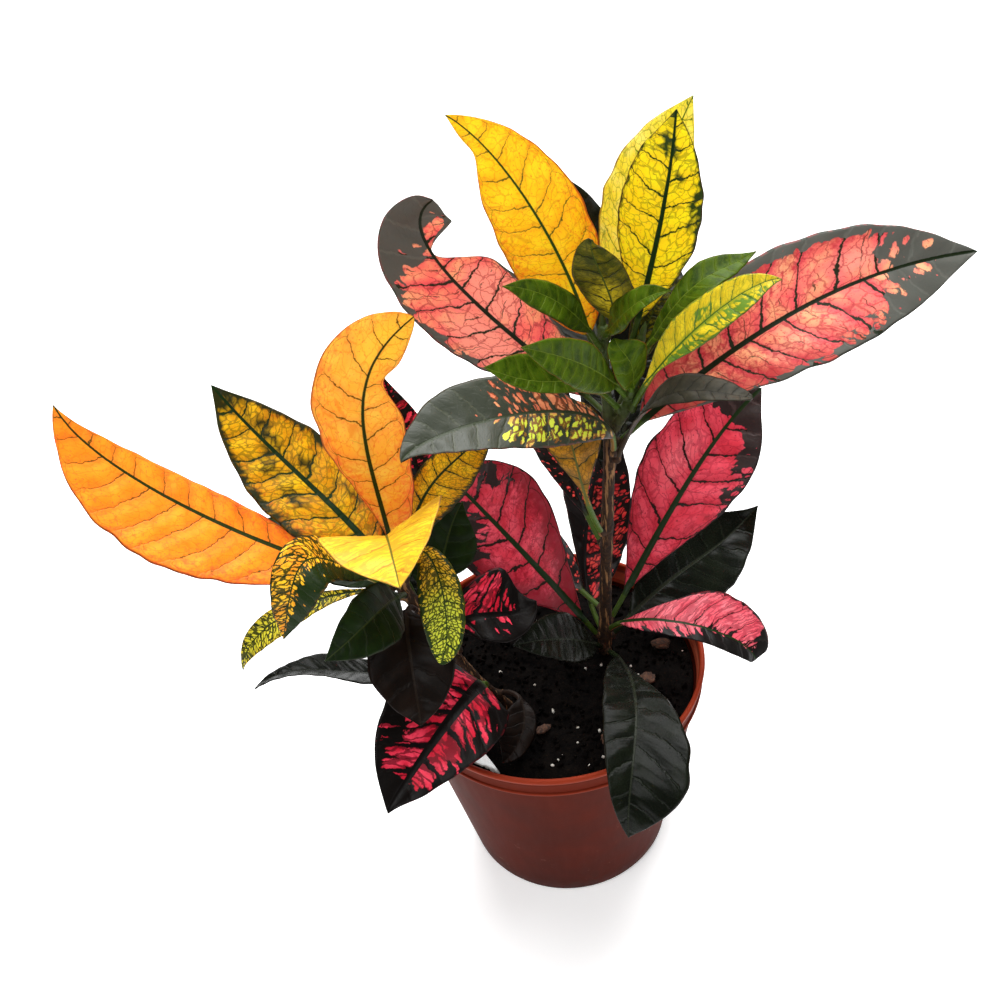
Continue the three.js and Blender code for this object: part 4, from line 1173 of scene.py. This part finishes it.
def tube(bm, points, radii, sides=20):
    """A closed tube through points, pushed out of a circle from one to the next"""
    ring = None
    for i, point in enumerate(points):
        before = points[max(i - 1, 0)]
        after = points[min(i + 1, len(points) - 1)]
        turn = (after - before).to_track_quat("Z", "Y").to_matrix().to_4x4()
        place = Matrix.Translation(point) @ turn
        made = bmesh.ops.create_circle(bm, cap_ends=False, segments=sides, radius=radii[i], matrix=place)
        edges = list({e for v in made["verts"] for e in v.link_edges})
        if ring is not None:
            bmesh.ops.bridge_loops(bm, edges=ring + edges)
            edges = [e for e in edges if e.is_valid]
        else:
            bmesh.ops.holes_fill(bm, edges=edges, sides=0)
        ring = edges
    bmesh.ops.holes_fill(bm, edges=ring, sides=0)


def stem_path(name, below):
    """Points each 4 mm or so along a stem, with its radii, swollen at the joints of its leaves"""
    axis = [Vector(p) for p in STEMS[name]["axis"]]
    axis[0] = axis[0] + (axis[0] - axis[1]).normalized() * below
    radius = STEMS[name]["radius"]
    heights = [row["at"] for row in LEAVES if row["stem"] == name]
    points, radii = [], []
    for i, (a, b) in enumerate(zip(axis, axis[1:])):
        count = max(round((b - a).length / 4), 2)
        for k in range(count + (i == len(axis) - 2)):
            point = a.lerp(b, k / count)
            share = (i + k / count) / (len(axis) - 1)
            swell = sum(
                JOINT_SWELL * math.exp(-(((point.z - height) / JOINT_REACH) ** 2)) for height in heights
            )
            points.append(point)
            radii.append(blend(radius[0], radius[1], share) + min(swell, 0.5))
    return points, radii


def collar(bm, row):
    """The swollen foot of a stalk on the bark"""
    rib = midrib(row)
    along = rib.slope(0)
    points = [rib.knots[0] + along * s for s in (-2.4, -1.0, 0.4, 1.6, 2.6)]
    tube(bm, points, [1.2, 1.9, 1.75, 1.35, 1.0], 12)


def bud(bm, tip, lean, size):
    """A closed bud of folded leaves at the end of a shoot"""
    points = [tip + lean * s * size for s in (-1.5, 0, 2, 4.5, 7, 9)]
    tube(bm, points, [size * r for r in (1.5, 1.7, 1.9, 1.5, 0.8, 0.15)], 14)


def stems(name, names, node, material):
    """The stems that grow as one, with collars and buds, remeshed into one skin of bark"""
    bm = bmesh.new()
    for stem in names:
        points, radii = stem_path(stem, ROOT_DEPTH if stem in ("tall", "side") else 2)
        tube(bm, points, radii)
        if stem != "tall":
            lean = (points[-1] - points[-2]).normalized()
            bud(bm, points[-1], lean, 0.75)
    for row in LEAVES:
        if row["stem"] in names:
            collar(bm, row)
    bmesh.ops.recalc_face_normals(bm, faces=bm.faces)
    for vert in bm.verts:
        vert.co *= MM
    remesh = {"mode": "VOXEL", "voxel_size": STEM_VOXEL * MM, "adaptivity": 0.0}
    smooth = {"factor": 0.6, "iterations": 3}
    result = applied(bm, name + "_blank", [("REMESH", remesh), ("SMOOTH", smooth)])
    for vert in result.verts:
        at = vert.co / MM
        ridge = noise.noise(Vector((at.x * 0.9, at.y * 0.9, at.z * 0.16)))
        knot = noise.noise(at * 0.7)
        vert.co += vert.normal * (0.16 * ridge + 0.12 * knot) * MM
    return piece(name, result, material, [node])


def rounded(bm, edges, radius, steps):
    bmesh.ops.bevel(
        bm, geom=edges, offset=radius, segments=steps, profile=0.5, affect="EDGES", material=-1
    )


def plant_label(material):
    """A thin strip with rounded corners, a little bowed, pushed into the soil"""
    bm = bmesh.new()
    bmesh.ops.create_cube(bm, size=1, matrix=Matrix.Diagonal((*LABEL_SIZE, 1)))
    upright = [e for e in bm.edges if abs((e.verts[0].co - e.verts[1].co).normalized().y) > 0.9]
    rounded(bm, upright, LABEL_CORNER, 6)
    rounded(bm, list(bm.edges), LABEL_EDGE, 2)
    half = LABEL_SIZE[2] // 2
    for height in range(2 - half, half, 2):
        bmesh.ops.bisect_plane(
            bm, geom=[*bm.verts, *bm.edges, *bm.faces], plane_co=(0, 0, height), plane_no=(0, 0, 1)
        )
    for vert in bm.verts:
        vert.co.y += LABEL_SHIFT - LABEL_BOW * (vert.co.z / half) ** 2
    lean = Matrix.Rotation(LABEL_LEAN[2], 4, "Z") @ Matrix.Rotation(LABEL_LEAN[1], 4, "Y")
    lean = lean @ Matrix.Rotation(LABEL_LEAN[0], 4, "X")
    bmesh.ops.transform(bm, matrix=Matrix.Translation(LABEL_AT) @ lean, verts=bm.verts)
    made = piece("label_strip", in_metres(bm), material, ["plant_label"])
    made.data.set_sharp_from_angle(angle=math.radians(40))
    return made


def floor(material):
    bm = bmesh.new()
    bmesh.ops.create_grid(bm, x_segments=1, y_segments=1, size=6)
    made = meshed("floor", bm)
    made.data.materials.append(material)


def camera():
    """The camera at the photograph's viewing angle, rolled as it was held"""
    pitch = math.radians(CAMERA_PITCH)
    roll = math.radians(CAMERA_ROLL)
    ahead = Vector((0, math.cos(pitch), -math.sin(pitch)))
    level = Vector((1, 0, 0))
    over = level.cross(ahead)
    right = level * math.cos(roll) + over * math.sin(roll)
    above = right.cross(ahead)
    data = bpy.data.cameras.new("camera")
    data.lens = CAMERA_LENS
    data.sensor_width = 36
    data.clip_start = 0.01
    made = placed("camera", data)
    turn = Matrix((right, above, -ahead)).transposed().to_4x4()
    place = (Vector(CAMERA_TARGET) - ahead * CAMERA_DISTANCE) * MM
    made.matrix_world = Matrix.Translation(place) @ turn
    bpy.context.scene.camera = made


def light(name, kind, place, target, settings):
    data = bpy.data.lights.new(name, kind)
    for key, value in settings.items():
        setattr(data, key, value)
    made = placed(name, data)
    made.location = place
    made.rotation_euler = (Vector(target) - Vector(place)).to_track_quat("-Z", "Y").to_euler()


def lighting():
    """Broad soft light from overhead and a little behind, weak light in front, a dim white room"""
    light("overhead", "AREA", (0.1, 0.25, 1.3), (0, 0, 0.25), {"size": 0.9, "energy": 19})
    light("front", "AREA", (-0.3, -0.7, 1.3), (0, 0, 0.28), {"size": 0.7, "energy": 9})
    light("daylight", "SUN", (0.2, 1.2, 1.4), (0, 0, 0), {"angle": 0.9, "energy": 3.6})
    world = bpy.data.worlds.new("room")
    world.use_nodes = True
    world.node_tree.nodes["Background"].inputs["Color"].default_value = (1, 1, 1, 1)
    world.node_tree.nodes["Background"].inputs["Strength"].default_value = 0.15
    bpy.context.scene.world = world
    bpy.context.scene.view_settings.view_transform = "Standard"


camera()
lighting()
floor(floor_material())
pot(pot_material())
potting_mix = soil_material()
soil(potting_mix)
grains("soil_crumbs", potting_mix, "soil", CRUMBS, 3, 0.6, 1.9)
grains("perlite_grains", perlite_material(), "label", PERLITE, 5, 0.5, 1.3)
bark_chips(chip_material())
bark = bark_material()
stems("stem_tall_bark", ("tall", "left", "right", "front"), "stem_tall", bark)
stems("stem_side_bark", ("side",), "stem_side", bark)
plant_label(label_material())
leaf_materials = {finish: leaf_material(finish) for finish in FINISHES}
for number, leaf_row in enumerate(LEAVES):
    leaf_blade(leaf_row, number, leaf_materials)
